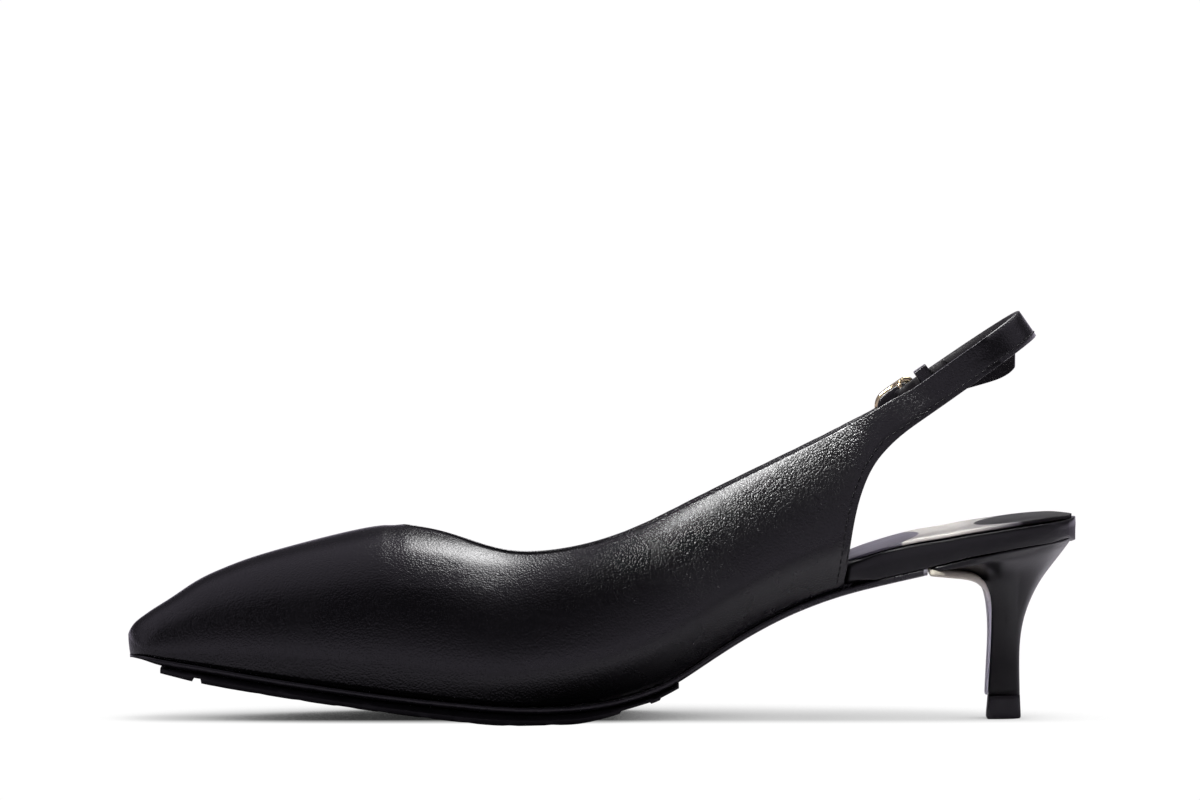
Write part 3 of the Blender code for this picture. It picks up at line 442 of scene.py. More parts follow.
class Finish:
    """A material with its Principled shader, the piece's own coordinates and short ways to add to them."""

    def __init__(self, name, **plain):
        self.material = bpy.data.materials.new(name)
        self.material.use_nodes = True
        self.tree = self.material.node_tree
        self.shader = self.tree.nodes["Principled BSDF"]
        self.place = node(self.tree, "ShaderNodeTexCoord").outputs["Object"]
        for key, value in plain.items():
            self.shader.inputs[key.replace("_", " ")].default_value = value

    def part(self, shared, **values):
        made = node(self.tree, "ShaderNodeGroup", node_tree=shared)
        wire(self.tree, (self.place, made.inputs["Place"]))
        for key, value in values.items():
            made.inputs[key].default_value = value
        return made.outputs

    def noise(self, scale, detail=3.0, stretch=None):
        made = node(self.tree, "ShaderNodeTexNoise", {"Scale": scale, "Detail": detail})
        source = self.place
        if stretch:
            mapping = node(self.tree, "ShaderNodeMapping")
            mapping.inputs["Scale"].default_value = stretch
            wire(self.tree, (self.place, mapping.inputs["Vector"]))
            source = mapping.outputs["Vector"]
        wire(self.tree, (source, made.inputs["Vector"]))
        return made.outputs["Fac"]

    def share_along(self, axis, low, high):
        """0 at the low place and 1 at the high one along an axis of the shoe, in metres."""
        parts = node(self.tree, "ShaderNodeSeparateXYZ")
        share = node(self.tree, "ShaderNodeMapRange", {"From Min": low, "From Max": high})
        wire(self.tree, (self.place, parts.inputs[0]), (parts.outputs[axis], share.inputs["Value"]))
        return share.outputs[0]

    def creases(self, shared, middle, reach):
        made = self.part(shared, Reach=reach)
        made["Height"].node.inputs["Middle"].default_value = middle
        return made["Height"]

    def mix(self, share, first, second):
        made = node(self.tree, "ShaderNodeMix", data_type="RGBA")
        wire(self.tree, (share, made.inputs["Factor"]))
        for value, socket in ((first, made.inputs["A"]), (second, made.inputs["B"])):
            if isinstance(value, tuple):
                socket.default_value = (*value, 1.0)
            else:
                wire(self.tree, (value, socket))
        return made.outputs["Result"]

    def colour(self, source):
        wire(self.tree, (source, self.shader.inputs["Base Color"]))

    def roughness(self, source, *stops):
        wire(self.tree, (ramp(self.tree, source, *stops), self.shader.inputs["Roughness"]))

    def bump(self, *layers):
        """Layers of (height, distance in metres, strength), each on top of the one before."""
        below = None
        for height, distance, strength in layers:
            made = node(self.tree, "ShaderNodeBump", {"Distance": distance, "Strength": strength})
            wire(self.tree, (height, made.inputs["Height"]))
            if below:
                wire(self.tree, (below, made.inputs["Normal"]))
            below = made.outputs["Normal"]
        wire(self.tree, (below, self.shader.inputs["Normal"]))


def black_calf(name, pebbles, depth, gloss, coat, shared, bends=()):
    """Smooth black calf: thin lacquer over fine pebbles that break up its shine, creased at bends."""
    finish = Finish(name, Specular_IOR_Level=0.5, Coat_Weight=coat, Coat_Roughness=0.17)
    grain = finish.part(shared["grain"], Pebbles=pebbles)
    finish.colour(finish.mix(grain["Tone"], (0.0010, 0.0009, 0.0012), (0.0022, 0.0020, 0.0025)))
    finish.roughness(grain["Tone"], (0.30, gloss - 0.03), (0.70, gloss + 0.05))
    creased = []
    for middle, reach, height in bends:
        creased.append((finish.creases(shared["creases"], middle, reach), height, 1.0))
    finish.bump((grain["Tone"], 0.20 * MM, 0.2), *creased, (grain["Height"], depth, 1.0))
    return finish.material


def heel_cover(shared):
    """The same calf stretched over the heel: finer and flatter, and duller down the stem."""
    finish = Finish("heel_cover_calf", Specular_IOR_Level=0.24, Coat_Roughness=0.22)
    grain = finish.part(shared["grain"], Pebbles=1900.0)
    scratches = finish.part(shared["scratches"], Fineness=600.0)
    finish.colour(finish.mix(grain["Tone"], (0.0012, 0.0010, 0.0014), (0.0026, 0.0023, 0.0030)))
    up_the_heel = finish.share_along("Z", 14 * MM, 46 * MM)
    polish = ramp(finish.tree, up_the_heel, (0.0, 0.03), (0.5, 0.22), (1.0, 0.75))
    wire(finish.tree, (polish, finish.shader.inputs["Coat Weight"]))
    finish.roughness(grain["Tone"], (0.30, 0.32), (0.70, 0.42))
    finish.bump(
        (grain["Tone"], 0.12 * MM, 0.2),
        (scratches["Height"], 0.004 * MM, 0.4),
        (grain["Height"], 0.015 * MM, 1.0),
    )
    return finish.material


def lining_leather(shared):
    finish = Finish("lining_leather", Specular_IOR_Level=0.3)
    grain = finish.part(shared["grain"], Pebbles=2100.0)
    finish.colour(finish.mix(grain["Tone"], (0.010, 0.009, 0.010), (0.018, 0.016, 0.018)))
    finish.roughness(grain["Pores"], (0.0, 0.52), (1.0, 0.66))
    finish.bump((grain["Height"], 0.03 * MM, 0.8))
    return finish.material


def sock_leathers(shared):
    """The sock: grey satin forward, a pale half sock over the seat whose cream is partly a painted satin sheen and
    greys towards the back, a suede pad let in at the heel.
    """
    finish = Finish("sock_leathers", Specular_IOR_Level=0.5, Coat_Roughness=0.25, Sheen_Weight=0.03)
    tree = finish.tree
    grain = finish.part(shared["grain"], Pebbles=1900.0)
    rubs = finish.noise(120.0, 4.0, (0.3, 1.0, 1.0))
    nap = finish.noise(3800.0, 3.0)
    parts = node(tree, "ShaderNodeSeparateXYZ")
    wire(tree, (finish.place, parts.inputs[0]))
    across = math_node(tree, "MULTIPLY", parts.outputs["Y"], parts.outputs["Y"])
    bowed = math_node(tree, "MULTIPLY_ADD", across, 9.0, parts.outputs["X"])
    edge = {"From Min": HALF_SOCK_EDGE, "From Max": HALF_SOCK_EDGE + 0.5 * MM}
    half_sock = node(tree, "ShaderNodeMapRange", edge)
    # Darker towards the back: the pale cream greys from 96 to 112 mm.
    greys_to_back = node(tree, "ShaderNodeMapRange", {"From Min": 96 * MM, "From Max": 112 * MM})
    round_pad = node(tree, "ShaderNodeMapping")
    pad_x, pad_y = PAD_MIDDLE
    pad_long, pad_wide = PAD_REACH
    round_pad.inputs["Location"].default_value = (-pad_x / pad_long, -pad_y / pad_wide, 0.0)
    round_pad.inputs["Scale"].default_value = (1 / pad_long, 1 / pad_wide, 0.0)
    span = node(tree, "ShaderNodeVectorMath", operation="LENGTH")
    wire(
        tree,
        (bowed, half_sock.inputs["Value"]),
        (parts.outputs["X"], greys_to_back.inputs["Value"]),
        (finish.place, round_pad.inputs["Vector"]),
        (round_pad.outputs["Vector"], span.inputs[0]),
    )
    pad = ramp(tree, span.outputs["Value"], (0.96, 1.0), (1.0, 0.0))
    grey = finish.mix(rubs, (0.115, 0.108, 0.135), (0.165, 0.155, 0.185))
    # Painted sheen: the cream is made pale partly to stand for the shine of the satin over the seat.
    cream = finish.mix(rubs, (0.58, 0.55, 0.49), (0.80, 0.77, 0.70))
    greyer_back = finish.mix(rubs, (0.120, 0.112, 0.125), (0.190, 0.180, 0.190))
    suede = finish.mix(nap, (0.010, 0.009, 0.010), (0.022, 0.020, 0.022))
    seat = finish.mix(greys_to_back.outputs[0], cream, greyer_back)
    finish.colour(finish.mix(pad, finish.mix(half_sock.outputs[0], grey, seat), suede))
    satin_gloss = ramp(tree, rubs, (0.35, 0.30), (0.70, 0.42))
    wire(
        tree,
        (finish.mix(pad, satin_gloss, (0.92, 0.92, 0.92)), finish.shader.inputs["Roughness"]),
        (finish.mix(pad, (0.25, 0.25, 0.25), (0.0, 0.0, 0.0)), finish.shader.inputs["Coat Weight"]),
    )
    edges = math_node(tree, "SUBTRACT", half_sock.outputs[0], pad)
    finish.bump(
        (rubs, 0.12 * MM, 0.4),
        (edges, 0.25 * MM, 0.8),
        (nap, 0.03 * MM, 0.5),
        (grain["Height"], 0.025 * MM, 0.8),
    )
    return finish.material


def inked_sole(shared):
    """The waist and edge of the sole: glossy black ink that has dried in small waves."""
    finish = Finish("inked_sole", Specular_IOR_Level=0.5, Coat_Roughness=0.12, Coat_Weight=0.35)
    waves = finish.noise(420.0, 2.0, (0.8, 1.0, 1.6))
    scratches = finish.part(shared["scratches"], Fineness=700.0)
    dust = finish.part(shared["dust"])
    inked = finish.mix(waves, (0.009, 0.0082, 0.0105), (0.018, 0.0165, 0.020))
    finish.colour(finish.mix(dust["Mask"], inked, (0.06, 0.058, 0.06)))
    finish.roughness(waves, (0.35, 0.24), (0.65, 0.38))
    finish.bump((waves, 0.30 * MM, 0.55), (scratches["Height"], 0.01 * MM, 0.4))
    return finish.material


def cut_sole_end():
    finish = Finish("cut_sole_end", Specular_IOR_Level=0.3)
    fibres = finish.noise(1500.0, 3.0, (1.0, 0.3, 1.0))
    finish.colour(finish.mix(fibres, (0.30, 0.29, 0.32), (0.46, 0.45, 0.49)))
    finish.roughness(fibres, (0.3, 0.6), (0.7, 0.8))
    finish.bump((fibres, 0.05 * MM, 0.6))
    return finish.material


def tread_rubber(name, dust_colour, shared):
    """Moulded black rubber with a fine spark-eroded skin and a little dust."""
    finish = Finish(name, Specular_IOR_Level=0.55)
    skin = finish.noise(3200.0, 3.0)
    flow = finish.noise(140.0, 3.0)
    dust = finish.part(shared["dust"], Specks=1700.0)
    moulded = finish.mix(flow, (0.0130, 0.0120, 0.0142), (0.0230, 0.0215, 0.0245))
    finish.colour(finish.mix(dust["Mask"], moulded, dust_colour))
    finish.roughness(flow, (0.3, 0.52), (0.7, 0.68))
    finish.bump((flow, 0.10 * MM, 0.3), (skin, 0.05 * MM, 0.6))
    return finish.material


def pale_strip():
    """The strip down the heel breast: cream under the seat, paler and cooler below."""
    finish = Finish("pale_strip", Specular_IOR_Level=0.35)
    down = finish.share_along("Z", 30 * MM, 40 * MM)
    fibres = finish.noise(1300.0, 3.0, (1.0, 1.0, 0.25))
    base = finish.mix(down, (0.70, 0.69, 0.76), (0.66, 0.62, 0.50))
    finish.colour(finish.mix(ramp(finish.tree, fibres, (0.55, 0.0), (0.8, 0.35)), base, (0.42, 0.40, 0.38)))
    finish.roughness(fibres, (0.3, 0.46), (0.7, 0.6))
    finish.bump((fibres, 0.03 * MM, 0.5))
    return finish.material


def pale_gold(shared):
    finish = Finish("pale_gold", Metallic=1.0, Specular_IOR_Level=0.5)
    scratches = finish.part(shared["scratches"], Fineness=1600.0)
    tarnish = finish.noise(500.0, 3.0)
    plated = finish.mix(tarnish, (0.90, 0.73, 0.42), (0.95, 0.81, 0.53))
    finish.colour(finish.mix(scratches["Mask"], plated, (0.97, 0.86, 0.62)))
    finish.roughness(scratches["Mask"], (0.0, 0.16), (1.0, 0.32))
    finish.bump((scratches["Height"], 0.006 * MM, 0.5))
    return finish.material


def waxed_thread():
    """Black thread whose twist shows as slanting strands."""
    finish = Finish("waxed_thread", Specular_IOR_Level=0.3)
    strands = node(finish.tree, "ShaderNodeTexWave", {"Scale": 1100.0, "Distortion": 2.0, "Detail": 1.0})
    wire(finish.tree, (finish.place, strands.inputs["Vector"]))
    finish.colour(finish.mix(strands.outputs["Fac"], (0.004, 0.0036, 0.0045), (0.012, 0.011, 0.013)))
    finish.roughness(strands.outputs["Fac"], (0.0, 0.50), (1.0, 0.64))
    finish.bump((strands.outputs["Fac"], 0.04 * MM, 0.7))
    return finish.material


# Camera, floor and light


def camera():
    made = bpy.data.cameras.new("camera")
    made.sensor_width = SENSOR_WIDTH_MM
    made.lens = SENSOR_WIDTH_MM * CAMERA_DISTANCE / FRAME_WIDTH
    made.clip_start, made.clip_end = 0.1, 50.0
    holder = link("camera", made)
    back = Vector((0.0, -math.cos(LOOK_DOWN), math.sin(LOOK_DOWN)))
    holder.location = FRAME_MIDDLE + back * CAMERA_DISTANCE
    holder.rotation_euler = (math.radians(90) - LOOK_DOWN, 0.0, 0.0)
    bpy.context.scene.camera = holder


def floor():
    """A round paper floor: white with a soft painted contact shadow to the eye, and painted dark under the shoe as
    shade when mirrored.
    """
    select_only(bpy.context.scene.camera)
    bpy.ops.mesh.primitive_circle_add(vertices=96, radius=1.2, fill_type="NGON", location=(0.0, 0.0, 0.0))
    made = bpy.context.object
    made.name = "floor"
    finish = Finish("floor_paper", Roughness=0.9, Specular_IOR_Level=0.1)
    tree = finish.tree
    tooth = finish.noise(900.0, 3.0)
    finish.bump((tooth, 0.05 * MM, 0.2))
    parts = node(tree, "ShaderNodeSeparateXYZ")
    wire(tree, (finish.place, parts.inputs[0]))
    around = node(tree, "ShaderNodeMapping")
    around.inputs["Location"].default_value = (0.070 / 0.092, 0.0, 0.0)
    around.inputs["Scale"].default_value = (1 / 0.092, 1 / 0.075, 0.0)
    span = node(tree, "ShaderNodeVectorMath", operation="LENGTH")
    away = node(tree, "ShaderNodeMapRange", {"From Min": 0.85, "From Max": 1.45}, interpolation_type="SMOOTHSTEP")
    wire(
        tree,
        (finish.place, around.inputs["Vector"]),
        (around.outputs["Vector"], span.inputs[0]),
        (span.outputs["Value"], away.inputs["Value"]),
    )
    # Painted shade: the floor's colour is dark under the shoe and pale away from it, for what the shoe mirrors.
    finish.colour(finish.mix(away.outputs[0], (0.03, 0.03, 0.031), (0.80, 0.78, 0.82)))
    hidden = node(tree, "ShaderNodeAmbientOcclusion", {"Distance": 0.060}, samples=14)
    seen = node(tree, "ShaderNodeEmission")
    clear = node(tree, "ShaderNodeBsdfTransparent")
    path = node(tree, "ShaderNodeLightPath")
    for_camera = node(tree, "ShaderNodeMixShader")
    fading = node(tree, "ShaderNodeMixShader")
    distance = node(tree, "ShaderNodeVectorMath", operation="LENGTH")
    share = node(tree, "ShaderNodeMapRange", {"From Min": 0.16, "From Max": 0.22}, interpolation_type="SMOOTHSTEP")
    # Painted contact shadow: the glow the eye sees follows the occlusion near the shoe and is cut off in front of
    # it.
    shade = ramp(tree, hidden.outputs["AO"], *CONTACT_SHADOW)
    in_front = node(tree, "ShaderNodeMapRange", {"From Min": -0.010, "From Max": -0.027})
    wire(tree, (parts.outputs["Y"], in_front.inputs["Value"]))
    shade = finish.mix(in_front.outputs[0], shade, (1.02, 1.02, 1.02))
    wire(
        tree,
        (shade, seen.inputs["Color"]),
        (finish.place, distance.inputs[0]),
        (distance.outputs["Value"], share.inputs["Value"]),
        (path.outputs["Is Camera Ray"], for_camera.inputs[0]),
        (finish.shader.outputs[0], for_camera.inputs[1]),
        (seen.outputs[0], for_camera.inputs[2]),
        (math_node(tree, "MULTIPLY", share.outputs[0], path.outputs["Is Camera Ray"]), fading.inputs[0]),
        (for_camera.outputs[0], fading.inputs[1]),
        (clear.outputs[0], fading.inputs[2]),
        (fading.outputs[0], tree.nodes["Material Output"].inputs["Surface"]),
    )
    made.data.materials.append(finish.material)


def softbox(name, place, aim, width, depth, radiance, spread=180):
    light = bpy.data.lights.new(name, "AREA")
    light.shape = "RECTANGLE"
    light.size, light.size_y = width, depth
    light.energy = radiance * math.pi * width * depth
    light.spread = math.radians(spread)
    holder = link(name, light)
    holder.location = place
    holder.rotation_euler = (Vector(aim) - Vector(place)).to_track_quat("-Z", "Y").to_euler()
    holder.visible_camera = False


def room():
    """A white room to the eye. Mirrored, it is lit low in front, dim overhead and dark in between."""
    world = bpy.data.worlds.new("room")
    bpy.context.scene.world = world
    world.use_nodes = True
    tree = world.node_tree
    plain = tree.nodes["Background"]
    plain.inputs["Color"].default_value = (1.0, 0.99, 1.0, 1.0)
    plain.inputs["Strength"].default_value = 1.02
    mirrored = node(tree, "ShaderNodeBackground")
    coordinates = node(tree, "ShaderNodeTexCoord")
    parts = node(tree, "ShaderNodeSeparateXYZ")
    path = node(tree, "ShaderNodeLightPath")
    either = node(tree, "ShaderNodeMixShader")
    wire(tree, (coordinates.outputs["Generated"], parts.inputs[0]))
    towards_camera = math_node(tree, "MULTIPLY", parts.outputs["Y"], -1.0)
    over = math_node(tree, "ARCTAN2", parts.outputs["Z"], towards_camera)
    stops = []
    for degrees, light in ROOM_BANDS:
        stops.append(((degrees + 180) / 360, (light * 1.02, light * 0.93, light * 1.14)))
    bands = ramp(tree, math_node(tree, "MULTIPLY_ADD", over, 0.5 / math.pi), *stops)
    brighter = {"From Min": -0.35, "From Max": -0.9, "To Min": 1.0, "To Max": 1.2}
    to_the_left = node(tree, "ShaderNodeMapRange", brighter)
    wire(
        tree,
        (parts.outputs["X"], to_the_left.inputs["Value"]),
        (to_the_left.outputs[0], mirrored.inputs["Strength"]),
        (bands, mirrored.inputs["Color"]),
        (path.outputs["Is Camera Ray"], either.inputs[0]),
        (mirrored.outputs[0], either.inputs[1]),
        (plain.outputs[0], either.inputs[2]),
        (either.outputs[0], tree.nodes["World Output"].inputs["Surface"]),
    )


def studio():
    camera()
    floor()
    room()
    softbox("overhead", (0.078, 0.165, 0.345), (0.03, 0.0, 0.07), 0.12, 0.13, 3.6)
    softbox("overhead_middle", (0.073, 0.165, 0.347), (0.03, 0.0, 0.07), 0.15, 0.16, 3.0)
    softbox("overhead_rim", (0.07, 0.165, 0.349), (0.03, 0.0, 0.07), 0.18, 0.19, 2.2)
    softbox("overhead_glow", (0.07, 0.16, 0.36), (0.02, 0.0, 0.07), 0.24, 0.26, 0.5)
    softbox("quarter_light", (-0.135, -0.115, 0.345), (0.13, -0.03, 0.10), 0.085, 0.14, 4.0, 38)
    bpy.context.scene.view_settings.view_transform = "Standard"


# The sling strap's own frame


def on_strap(run, across, half):
    place = STRAP_START + STRAP_ALONG * run + STRAP_UP * across
    return Vector((place.x, half, place.y))


def strap_half(run, half):
    turned = max(0.0, (run - BEND_START * STRAP_RUN) / ((1 - BEND_START) * STRAP_RUN))
    return half * (1 - min(turned, 1.0) ** BEND_ALONG) ** (1 / BEND_OUT)


def strap_round(across, start_run, end_run):
    """Places along the sling from a run on the inner side, round the heel, to one on the outer side."""
    places = []
    steps = 160
    inner = [start_run + (STRAP_RUN - start_run) * math.sin(math.pi / 2 * i / steps) for i in range(steps)]
    outer = [end_run + (STRAP_RUN - end_run) * math.cos(math.pi / 2 * i / steps) for i in range(steps + 1)]
    for run in inner:
        places.append(on_strap(run, across, STRAP_MIDDLE_Y - strap_half(run, STRAP_HALF)))
    for run in outer:
        places.append(on_strap(run, across, STRAP_MIDDLE_Y + strap_half(run, BUCKLE_SIDE_HALF)))
    return places


def quarter_margin(skin, side, margin):
    """Places on the quarter's outside, a margin in front of its cut back edge, from the sole up."""
    places = []
    corners = [Vector((x * MM, z * MM)) for x, z in QUARTER_EDGE]
    for low, high in zip(corners, corners[1:]):
        forward = Vector((-(high - low).y, (high - low).x)).normalized()
        for step in range(12):
            flat = low.lerp(high, step / 12) + forward * margin
            found = skin.ray_cast(Vector((flat.x, side * 0.09, flat.y)), Vector((0.0, -side, 0.0)))[0]
            if found:
                places.append(found)
    return places


def resampled(places, pitch):
    """Places a pitch apart along a path, with the direction of the path at each."""
    made, carried = [], pitch / 2
    for before, after in zip(places, places[1:]):
        step = after - before
        length = step.length
        while carried < length:
            made.append((before + step * (carried / length), step.normalized()))
            carried += pitch
        carried -= length
    return made


def smoothed(places, rounds):
    for _ in range(rounds):
        middle = [(a + b * 2 + c) / 4 for a, b, c in zip(places, places[1:], places[2:])]
        places = [places[0]] + middle + [places[-1]]
    return places


# Pieces


def thread_row(name, places, skin, material):
    """Stitches modelled once as a capsule, then laid along a path, half sunk in the leather."""
    select_only(bpy.context.scene.camera)
    bpy.ops.mesh.primitive_uv_sphere_add(segments=8, ring_count=7, radius=1.0)
    pattern = bpy.context.object
    bpy.ops.object.mode_set(mode="EDIT")
    bpy.ops.mesh.select_all(action="SELECT")
    bpy.ops.transform.resize(value=(STITCH_LENGTH / 2, THREAD_RADIUS, THREAD_RADIUS))
    bpy.ops.object.mode_set(mode="OBJECT")
    form = bmesh.new()
    for place, along in resampled(places, STITCH_PITCH):
        found, outward, _, _ = skin.find_nearest(place)
        across = outward.cross(along).normalized()
        ahead = across.cross(outward).normalized()
        turn = Matrix((ahead, across, outward)).transposed().to_4x4()
        lying = Matrix.Translation(found + outward * THREAD_RADIUS * 0.25) @ turn
        copy = pattern.data.copy()
        copy.transform(lying)
        form.from_mesh(copy)
        bpy.data.meshes.remove(copy)
    mesh = bpy.data.meshes.new(name)
    form.to_mesh(mesh)
    form.free()
    bpy.data.objects.remove(pattern)
    piece = link(name, mesh)
    select_only(piece)
    bpy.ops.object.shade_smooth()
    return added(piece, material)


def is_lining(centre, normal):
    """True for a face of the upper that looks inwards, to the foot."""
    back_axis = 88 * MM
    axis = Vector((min(centre.x, back_axis), STRAP_MIDDLE_Y * max(0.0, min(1.0, centre.x / back_axis)), 0.0))
    low = 12 * MM + 30 * MM * max(0.0, min(1.0, centre.x / (70 * MM)))
    axis.z = centre.z if centre.x > 70 * MM else min(low, centre.z)
    outward = centre - axis
    return outward.length > 0 and outward.normalized().dot(normal) < -0.35


def press_channel(piece, rows):
    """Presses a shallow channel into the leather under each row of stitches."""
    points = [place for row in rows for place, _ in resampled(row, 0.25 * MM)]
    tree = KDTree(len(points))
    for i, place in enumerate(points):
        tree.insert(place, i)
    tree.balance()
    normals = [vertex.normal.copy() for vertex in piece.data.vertices]
    for vertex, normal in zip(piece.data.vertices, normals):
        _, _, distance = tree.find(vertex.co)
        if distance < 2 * CHANNEL_WIDTH:
            share = distance / CHANNEL_WIDTH
            vertex.co -= normal * CHANNEL_DEPTH * math.exp(-share * share)


def round_the_nose(piece):
    """Swells the foremost point of the toe and tucks its foot in over the sole."""
    for vertex in piece.data.vertices:
        near = clamped((NOSE_BEHIND - vertex.co.x) / NOSE_FADE)
        rise = (vertex.co.z - NOSE_HEIGHT) / NOSE_REACH
        swell = max(0.0, 1 - rise * rise)
        tuck = clamped(-rise) ** 2
        foot = clamped((NOSE_FOOT - vertex.co.z) / NOSE_FOOT_FADE)
        vertex.co.x += near * near * (NOSE_TUCK * tuck - NOSE_SWELL * swell)
        vertex.co.z -= near * near * NOSE_DROP * foot


def upper(calf, lining, thread):
    piece = merged_copy("upper", "leather_upper")
    hold_edges(piece, 50, 0.55)
    refine(piece, 2)
    round_the_nose(piece)
    even_out(piece, 24, *THROAT_ZONE)
    form = bmesh.new()
    form.from_mesh(piece.data)
    skin = BVHTree.FromBMesh(form)
    for face in form.faces:
        face.material_index = 1 if is_lining(face.calc_center_median(), face.normal) else 0
    form.to_mesh(piece.data)
    form.free()
    strap_end = 24 * MM
    inner = smoothed(quarter_margin(skin, -1, 1.9 * MM) + strap_round(STITCH_MARGIN, 3 * MM, strap_end), 8)
    outer = smoothed(quarter_margin(skin, 1, 1.9 * MM), 8)
    press_channel(piece, [inner, outer])
    thread_row("sling_stitches", inner, skin, thread)
    thread_row("quarter_stitches", outer, skin, thread)
    return stands_for(piece, "upper", "black_leather", calf, lining)


def fold_tighter(piece):
    """Fills out the rim's rounded corners at the seat, as leather folded tight over its board."""
    normals = [vertex.normal.copy() for vertex in piece.data.vertices]
    for vertex, normal in zip(piece.data.vertices, normals):
        level = Vector((normal.x, normal.y, 0.0))
        level_share = level.length
        if vertex.co.x < RIM_START or level_share < FLAT_SHARE or abs(normal.z) < FLAT_SHARE:
            continue
        level.normalize()
        upright = Vector((0.0, 0.0, math.copysign(1.0, normal.z)))
        fold = RIM_FOLD_HIGH if normal.z > 0 else RIM_FOLD_LOW
        begun = min(1.0, (vertex.co.x - RIM_START) / (8 * MM))
        at_back = clamped((vertex.co.x - RIM_BACK) / (5 * MM))
        outer = clamped((level_share - FLAT_SHARE) / 0.25)
        vertex.co += (RIM_ROUND - fold) * begun * (1 - at_back) * (level + upright - normal)
        if normal.z < 0:
            vertex.co.z -= RIM_SKIRT * begun * outer
    for vertex in piece.data.vertices:
        front = clamped((RIM_NOSE_END - vertex.co.x) / (2.5 * MM))
        if vertex.co.x > RIM_START:
            low = clamped((RIM_NOSE_TOP - vertex.co.z) / (6 * MM))
            vertex.co.x -= RIM_NOSE * front * low


def insole(rim):
    piece = merged_copy("insole", "covered_insole_rim")
    hold_edges(piece, 60, 0.5)
    refine(piece, 2)
    fold_tighter(piece)
    return stands_for(piece, "insole", "covered_rim", rim)


def sock(leathers):
    piece = merged_copy("sock_lining", "sock_lining_padded")
    hold_edges(piece, 60, 0.5)
    refine(piece, 2)
    normals = [vertex.normal.copy() for vertex in piece.data.vertices]
    for vertex, normal in zip(piece.data.vertices, normals):
        if normal.z < 0.2 and vertex.co.x > RIM_START:
            vertex.co.z -= SOCK_EDGE_DROP
    stands_for(piece, "sock_lining", "sock_leather", leathers)
    return piece


def outsole(ink, cut_end):
    piece = merged_copy("outsole", "inked_outsole")
    hold_edges(piece, 60, 0.6)
    refine(piece, 2)
    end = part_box("outsole")[1].x
    form = bmesh.new()
    form.from_mesh(piece.data)
    for face in form.faces:
        face.material_index = 1 if face.calc_center_median().x > end - 0.9 * MM else 0
    form.to_mesh(piece.data)
    form.free()
    return stands_for(piece, "outsole", "sole_black", ink, cut_end)


def tread(rubber):
    piece = merged_copy("forepart_rubber", "lugged_forepart")
    hold_edges(piece, 25, 0.9)
    refine(piece, 1, 40)
    return stands_for(piece, "forepart_rubber", "black_rubber", rubber)


def heel(cover):
    piece = merged_copy("heel", "wrapped_heel")
    hold_edges(piece, 45, 0.95)
    refine(piece, 2)
    even_out(piece, 10)
    even_out(piece, 110, *HEEL_NECK_ZONE)
    for vertex in piece.data.vertices:
        vertex.co.z -= HEEL_FOOT_DROP * clamped((HEEL_FOOT_TOP - vertex.co.z) / (2 * MM))
    return stands_for(piece, "heel", "heel_cover", cover)


def top_lift(rubber):
    piece = merged_copy("top_lift", "top_lift_rubber")
    hold_edges(piece, 40, 0.95)
    refine(piece, 2)
    for vertex in piece.data.vertices:
        vertex.co.z += LIFT_TOP_RISE * clamped((vertex.co.z - LIFT_SHOULDER) / (1.2 * MM))
    return stands_for(piece, "top_lift", "lift_rubber", rubber)


def wrap_strip(piece):
    """Gives the strip the thickness that shows from the side: back into the heel, out over its corners."""
    form = bmesh.new()
    form.from_mesh(piece.data)
    form.normal_update()
    moves = {}
    for face in form.faces:
        for vertex in face.verts:
            move = moves.setdefault(vertex, [Vector(), 0.0])
            if face.normal.x > 0.3 or face.normal.z > 0.3:
                move[0] += face.normal * face.calc_area()
            if abs(face.normal.y) > 0.7:
                move[1] = math.copysign(1.0, face.normal.y)
    for vertex, (back, side) in moves.items():
        wing = clamped((vertex.co.z - STRIP_WING) / (4 * MM))
        if back.length > 0 and vertex.co.z > STRIP_FOOT:
            thick = max(0.12, clamped((vertex.co.z - STRIP_TAPER) / (9 * MM)))
            vertex.co += back.normalized() * STRIP_DEPTH * thick
        vertex.co.y += side * (0.25 + 0.75 * wing) * MM
        vertex.co.x -= STRIP_REACH * clamped((STRIP_FRONT - vertex.co.x) / (3 * MM))
    form.to_mesh(piece.data)
    form.free()


def breast_strip(pale):
    piece = merged_copy("breast_flap", "breast_strip")
    wrap_strip(piece)
    hold_edges(piece, 50, 0.95)
    refine(piece, 2)
    return stands_for(piece, "breast_flap", "pale_sole_edge", pale)


def thicken(piece, by):
    normals = [vertex.normal.copy() for vertex in piece.data.vertices]
    for vertex, normal in zip(piece.data.vertices, normals):
        vertex.co += normal * by


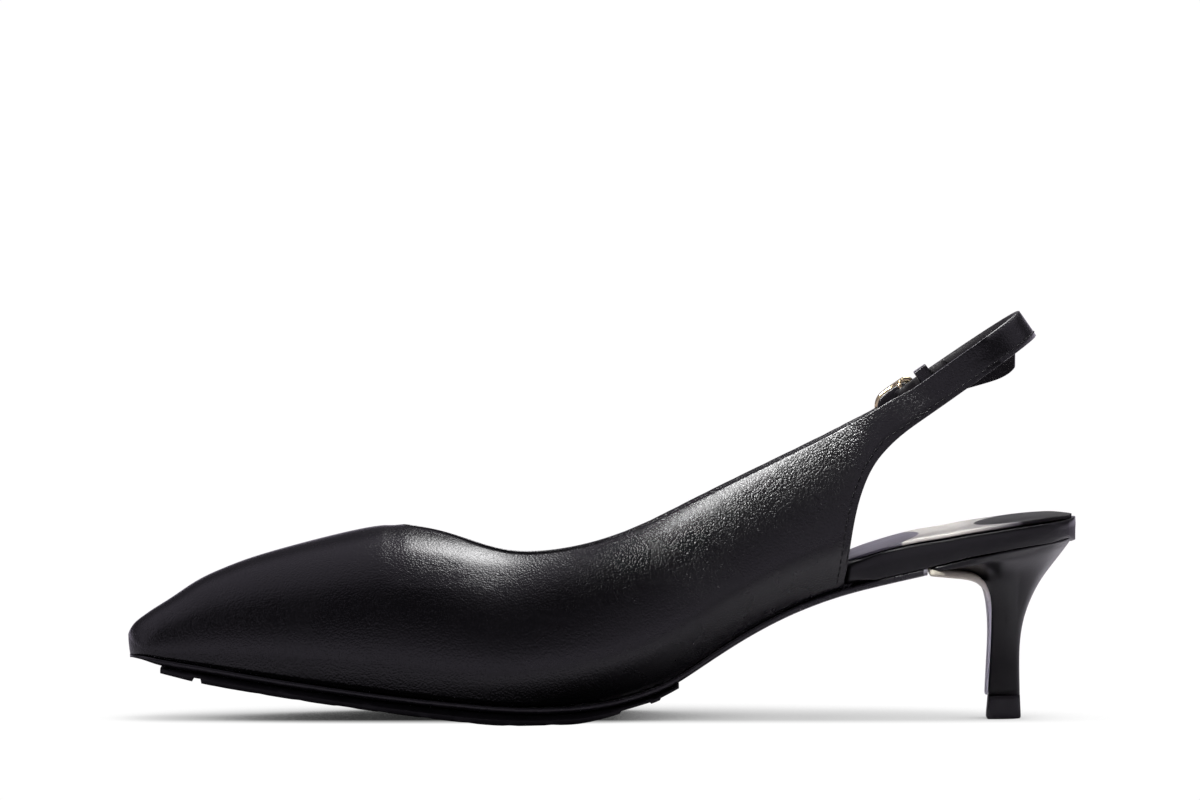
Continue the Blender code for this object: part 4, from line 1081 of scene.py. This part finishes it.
def tab_turn(calf):
    """The turned leather of the tab behind the buckle: it fills the frame, a little over the strap."""
    select_only(bpy.context.scene.camera)
    bpy.ops.mesh.primitive_grid_add(x_subdivisions=14, y_subdivisions=4, size=1.0, location=(0.0, 0.0, 0.0))
    piece = bpy.context.object
    piece.name = "tab_turn"
    low_run, high_run = TAB_TURN_RUN
    low_across, high_across = TAB_TURN_ACROSS
    for vertex in piece.data.vertices:
        along, up = vertex.co.x + 0.5, vertex.co.y + 0.5
        run = low_run + (high_run - low_run) * along
        crown = 1 - (2 * along - 1) ** 4
        across = low_across + (high_across - low_across) * up * (0.45 + 0.55 * crown)
        vertex.co = on_strap(run, across, STRAP_MIDDLE_Y + strap_half(run, BUCKLE_SIDE_HALF) - 1.0 * MM)
    leather = piece.modifiers.new("Leather", "SOLIDIFY")
    leather.thickness = 0.7 * MM
    leather.offset = 0.0
    apply_modifiers(piece)
    select_only(piece)
    bpy.ops.object.mode_set(mode="EDIT")
    bpy.ops.mesh.select_all(action="SELECT")
    bpy.ops.mesh.normals_make_consistent(inside=False)
    bpy.ops.object.mode_set(mode="OBJECT")
    refine(piece, 1)
    return added(piece, calf)


def buckle(gold):
    frame_piece = merged_copy("buckle_frame", "buckle_gold_frame")
    refine(frame_piece, 2, 70)
    thicken(frame_piece, BAR_SWELL)
    stands_for(frame_piece, "buckle_frame", "pale_gold", gold)
    prong = merged_copy("buckle_prong", "buckle_gold_prong")
    refine(prong, 2, 70)
    stands_for(prong, "buckle_prong", "pale_gold", gold)


def keeper(calf):
    piece = merged_copy("strap_keeper", "leather_keeper")
    soften_corners(piece, 0.35 * MM)
    return stands_for(piece, "strap_keeper", "keeper_leather", calf)


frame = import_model()
studio()
SHARED = {
    "grain": leather_grain(),
    "scratches": hair_scratches(),
    "dust": settled_dust(),
    "creases": pressed_creases(),
}
BENDS = (
    ((84 * MM, -26 * MM, 87 * MM), 9 * MM, 0.10 * MM),
    ((-32 * MM, -24 * MM, 38 * MM), 9 * MM, 0.05 * MM),
    ((30 * MM, -24 * MM, 30 * MM), 22 * MM, 0.05 * MM),
)
CALF = black_calf("black_calf", 1750.0, 0.115 * MM, 0.26, 0.5, SHARED, BENDS)
COVER = heel_cover(SHARED)
RIM = black_calf("rim_calf", 1900.0, 0.02 * MM, 0.32, 0.3, SHARED)
THREAD = waxed_thread()
upper(CALF, lining_leather(SHARED), THREAD)
insole(RIM)
sock(sock_leathers(SHARED))
outsole(inked_sole(SHARED), cut_sole_end())
tread(tread_rubber("tread_rubber", (0.05, 0.048, 0.046), SHARED))
heel(COVER)
top_lift(tread_rubber("lift_rubber", (0.03, 0.03, 0.03), SHARED))
breast_strip(pale_strip())
buckle(pale_gold(SHARED))
tab_turn(CALF)
keeper(CALF)
